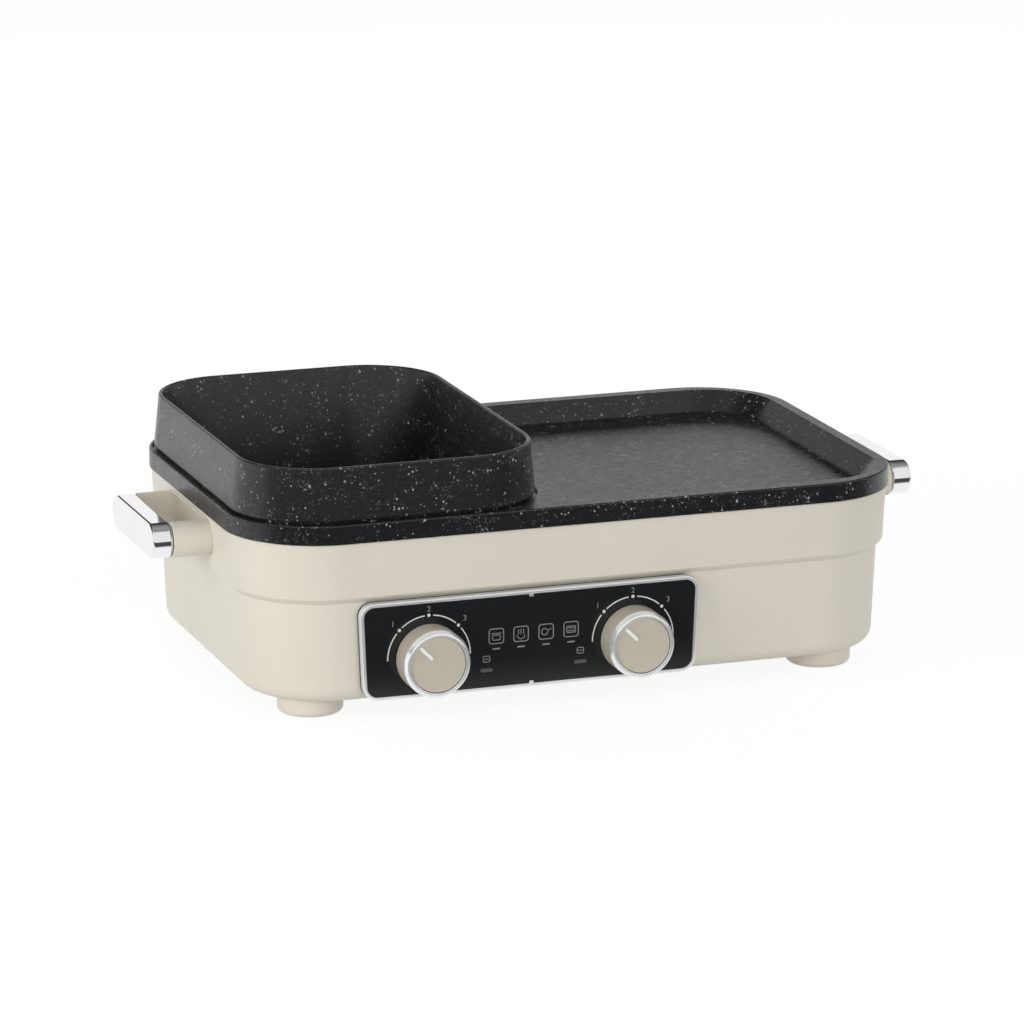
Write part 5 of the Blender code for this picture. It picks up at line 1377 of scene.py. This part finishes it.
@dataclass
class Wells:
    """Steel pans under the pot and the griddle, hung by their flanges."""

    sheet: float = 0.0008
    flange: float = 0.0035
    roll: float = 0.0012
    bottom_round: float = 0.006
    flange_level: float = 0.1271
    pot_depth: float = 0.058
    griddle_depth: float = 0.024
    exit_radius: float = 0.0045

    def build(self) -> None:
        """Model both pans."""
        self.build_pan("pot_well_pan", POT_WELL, self.pot_depth, "pot_well", -0.095)
        self.build_pan("griddle_well_pan", GRIDDLE_WELL, self.griddle_depth, "griddle_well", -0.100)

    def build_pan(self, name: str, outline: Outline, depth: float, node: str, exits: float) -> None:
        """One pan: flange, rolled edge, wall, bottom round and a stiffening step in its floor."""
        pan = outline.grown(self.flange).start(name, self.flange_level, Facing.UP)
        pan.walk(inwards(self.flange - self.roll), sunk(arc(self.roll, 90.0, 0.0, 5)),
                 sunk(up(depth - self.roll - self.bottom_round)),
                 sunk(arc(self.bottom_round, 0.0, 90.0, 6)), inwards(0.006),
                 arc(0.0012, 90.0, 30.0, 3), straight(0.0010, 0.0008), arc(0.0012, 30.0, 90.0, 3))
        pan.close_up().wall(self.sheet)
        for along in (-0.010, 0.010):
            spot = (outline.centre_x + along, CENTRE_Y + exits, self.flange_level - depth - OVERRUN)
            pan.drill(spot, self.exit_radius, Facing.UP, up(OVERRUN * 3), segments=32)
        pan.finish(STEEL, Body.HOUSING, node)


@dataclass
class Inlet:
    """Power inlet in the rear wall."""

    place: Pair = (0.120, 0.048)
    outer: float = 0.15985
    flange: float = 0.0025
    depth: float = 0.022
    socket_depth: float = 0.017

    def build(self) -> None:
        """Model the flange, shell and socket."""
        x, z = self.place
        shell = Workpiece.rounded("inlet_shell", (x, self.outer - 0.0004, z), (0.037, 0.0295), 0.0045,
                                  Facing.REAR, segments=8)
        shell.flip_and_walk(up(self.flange - 0.0004), inwards(0.0040),
                            up(self.depth - self.flange))
        shell.walk(arc(0.0004, 0.0, 90.0, 3))
        shell.close_up()
        lead_in = 0.0006
        socket = Workpiece.rounded("socket", (x, self.outer + OVERRUN, z),
                                   (0.0246 + lead_in * 2, 0.0171 + lead_in * 2), 0.0018, Facing.FRONT,
                                   segments=8)
        socket.walk(up(OVERRUN), arc(lead_in, 90.0, 0.0, 4),
                    up(self.socket_depth - lead_in))
        shell.combine(Join.CUT, socket)
        for step in (-1, 0, 1):
            slot = Workpiece.block("pin_slot", (x + step * 0.007 - 0.0013, 0.13235, 0.0427),
                                   (x + step * 0.007 + 0.0013, 0.14635, 0.0473))
            shell.combine(Join.CUT, slot)
        shell.finish(BLACK_PLASTIC, Body.HOUSING, "power_inlet")


@dataclass
class Studio:
    """Pale floor, soft studio light and the camera of the photograph."""

    target: Triple = (-0.00415, 0.00798, 0.0981)
    eye: Triple = (-1.2188, -3.46252, 1.0353)
    focal: float = 190.8
    floor_glow: float = 1.08

    def build(self) -> None:
        """Set up the floor, the world, the lamps and the camera."""
        self.build_floor()
        self.build_world()
        self.build_lamp("left softbox", (-2.6, -0.9, 0.62), 1.6, 28.0)
        self.build_lamp("front softbox", (-0.1, -2.8, 0.70), 1.8, 19.0)
        self.build_lamp("back softbox", (0.5, 2.4, 0.90), 1.6, 7.0)
        self.build_camera()
        bpy.context.scene.view_settings.view_transform = "Standard"

    def build_floor(self) -> None:
        """White floor: shows white, holds the shadow, and mirrors dark in front of the product."""
        clear_selection()
        bpy.ops.mesh.primitive_plane_add(size=40.0, location=(0.0, 0.0, -0.0002))
        floor = bpy.context.object
        floor.name = "floor"
        graph = Graph("floor white")
        graph.tree.nodes.remove(graph.shader)
        rays = graph.add("LightPath").outputs
        mirrored = rays["Is Glossy Ray"]
        depth = graph.add("SeparateXYZ", Vector=graph.place).outputs["Y"]
        front = graph.spread(depth, -0.26, -0.18, 0.07, 1.0)
        glow = self.floor_glow
        level = graph.calc("MULTIPLY_ADD", mirrored, graph.calc("SUBTRACT", front, glow), glow)
        seen = graph.calc("MAXIMUM", rays["Is Camera Ray"], rays["Is Transmission Ray"])
        share = graph.calc("MAXIMUM", graph.calc("MULTIPLY", seen, 0.83), mirrored)
        plain = graph.add("BsdfDiffuse", Color=(0.88, 0.88, 0.88, 1.0)).outputs[0]
        mixed = graph.mix(share, plain, graph.add("Emission", Strength=level).outputs[0])
        output = next(node for node in graph.tree.nodes if node.type == "OUTPUT_MATERIAL")
        graph.feed(output.inputs["Surface"], mixed)
        floor.data.materials.append(graph.paint)

    def build_world(self) -> None:
        """White for the camera; for reflections a studio that is dark overhead; dim for plain light."""
        sky = Sky()
        rear = sky.bands((0.0, 1.0), (0.28, 1.0), (0.33, 0.05), (0.72, 0.06), (1.0, 0.35))
        ahead = sky.bands((0.0, 0.9), (0.86, 0.9), (0.93, 0.25), (1.0, 0.35))
        mirrored = sky.mix(sky.spread(sky.parts["Y"], -0.15, 0.15), ahead, rear)
        dim = sky.bands((0.0, 0.85), (0.25, 0.70), (0.6, 0.52), (1.0, 0.50))
        white = sky.background((1.0, 1.0, 1.0, 1.0))
        rays = sky.add("LightPath").outputs
        final = sky.mix(rays["Is Glossy Ray"], dim, mirrored)
        for kind in ("Is Transmission Ray", "Is Camera Ray"):
            final = sky.mix(rays[kind], final, white)
        sky.add("OutputWorld", Surface=final)

    def build_lamp(self, name: str, place: Sequence[float], size: float, power: float) -> None:
        """Square area lamp aimed at the product, left out of its reflections."""
        clear_selection()
        bpy.ops.object.light_add(type="AREA", location=place)
        lamp = bpy.context.object
        lamp.name = name
        lamp.data.size = size
        lamp.data.energy = power
        lamp.visible_glossy = False
        self.aim(lamp, place, (0.0, 0.0, 0.08))

    def aim(self, thing: bpy.types.Object, place: Sequence[float], target: Sequence[float]) -> None:
        """Turn a lamp or camera at a place towards a target."""
        thing.rotation_euler = (Vector(target) - Vector(place)).to_track_quat("-Z", "Y").to_euler()

    def build_camera(self) -> None:
        """Camera at the photograph's viewing angle."""
        bpy.ops.object.camera_add(location=self.eye)
        camera = bpy.context.object
        camera.name = "photo camera"
        camera.data.lens = self.focal
        camera.data.sensor_width = 36.0
        camera.data.clip_start = 0.05
        camera.data.clip_end = 60.0
        self.aim(camera, self.eye, self.target)
        bpy.context.scene.camera = camera


KEPT_NODES: dict[Finish, str] = {
    SHEATH: "pot_element griddle_element",
    STEEL: "pot_support_front pot_support_rear griddle_support_front griddle_support_rear",
    ZINC: "cover_screw_1 cover_screw_2 cover_screw_3 cover_screw_4 handle_screw_left_front "
          "handle_screw_left_rear handle_screw_right_front handle_screw_right_rear "
          "control_shaft_left control_shaft_right",
    PHENOLIC: "thermostat_left thermostat_right",
    WHITE_PLASTIC: "terminal_block",
    BRASS: "inlet_pin_line inlet_pin_earth inlet_pin_neutral",
    INSULATION: "inlet_wire_line inlet_wire_neutral feed_wire_left feed_wire_right "
                "element_wire_pot element_wire_griddle",
}


def dress_kept_nodes(nodes: dict[str, bpy.types.Object]) -> None:
    """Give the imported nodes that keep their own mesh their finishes."""
    for look, names in KEPT_NODES.items():
        for name in names.split():
            node = nodes[name]
            node.data.materials.clear()
            node.data.materials.append(look.material())
            LOG.info("%s: kept, %s", name, look.name)


def main() -> None:
    """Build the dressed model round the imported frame."""
    logging.basicConfig(level=logging.INFO, format="%(message)s")
    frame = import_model()
    dress_kept_nodes(frame["nodes"])
    for assembly in (Housing(), Base(), GriddlePlate(), HotPot(), Handles(), ControlPanel(), Knobs(),
                     Wells(), Inlet(), Studio()):
        assembly.build()


if __name__ == "__main__":
    main()
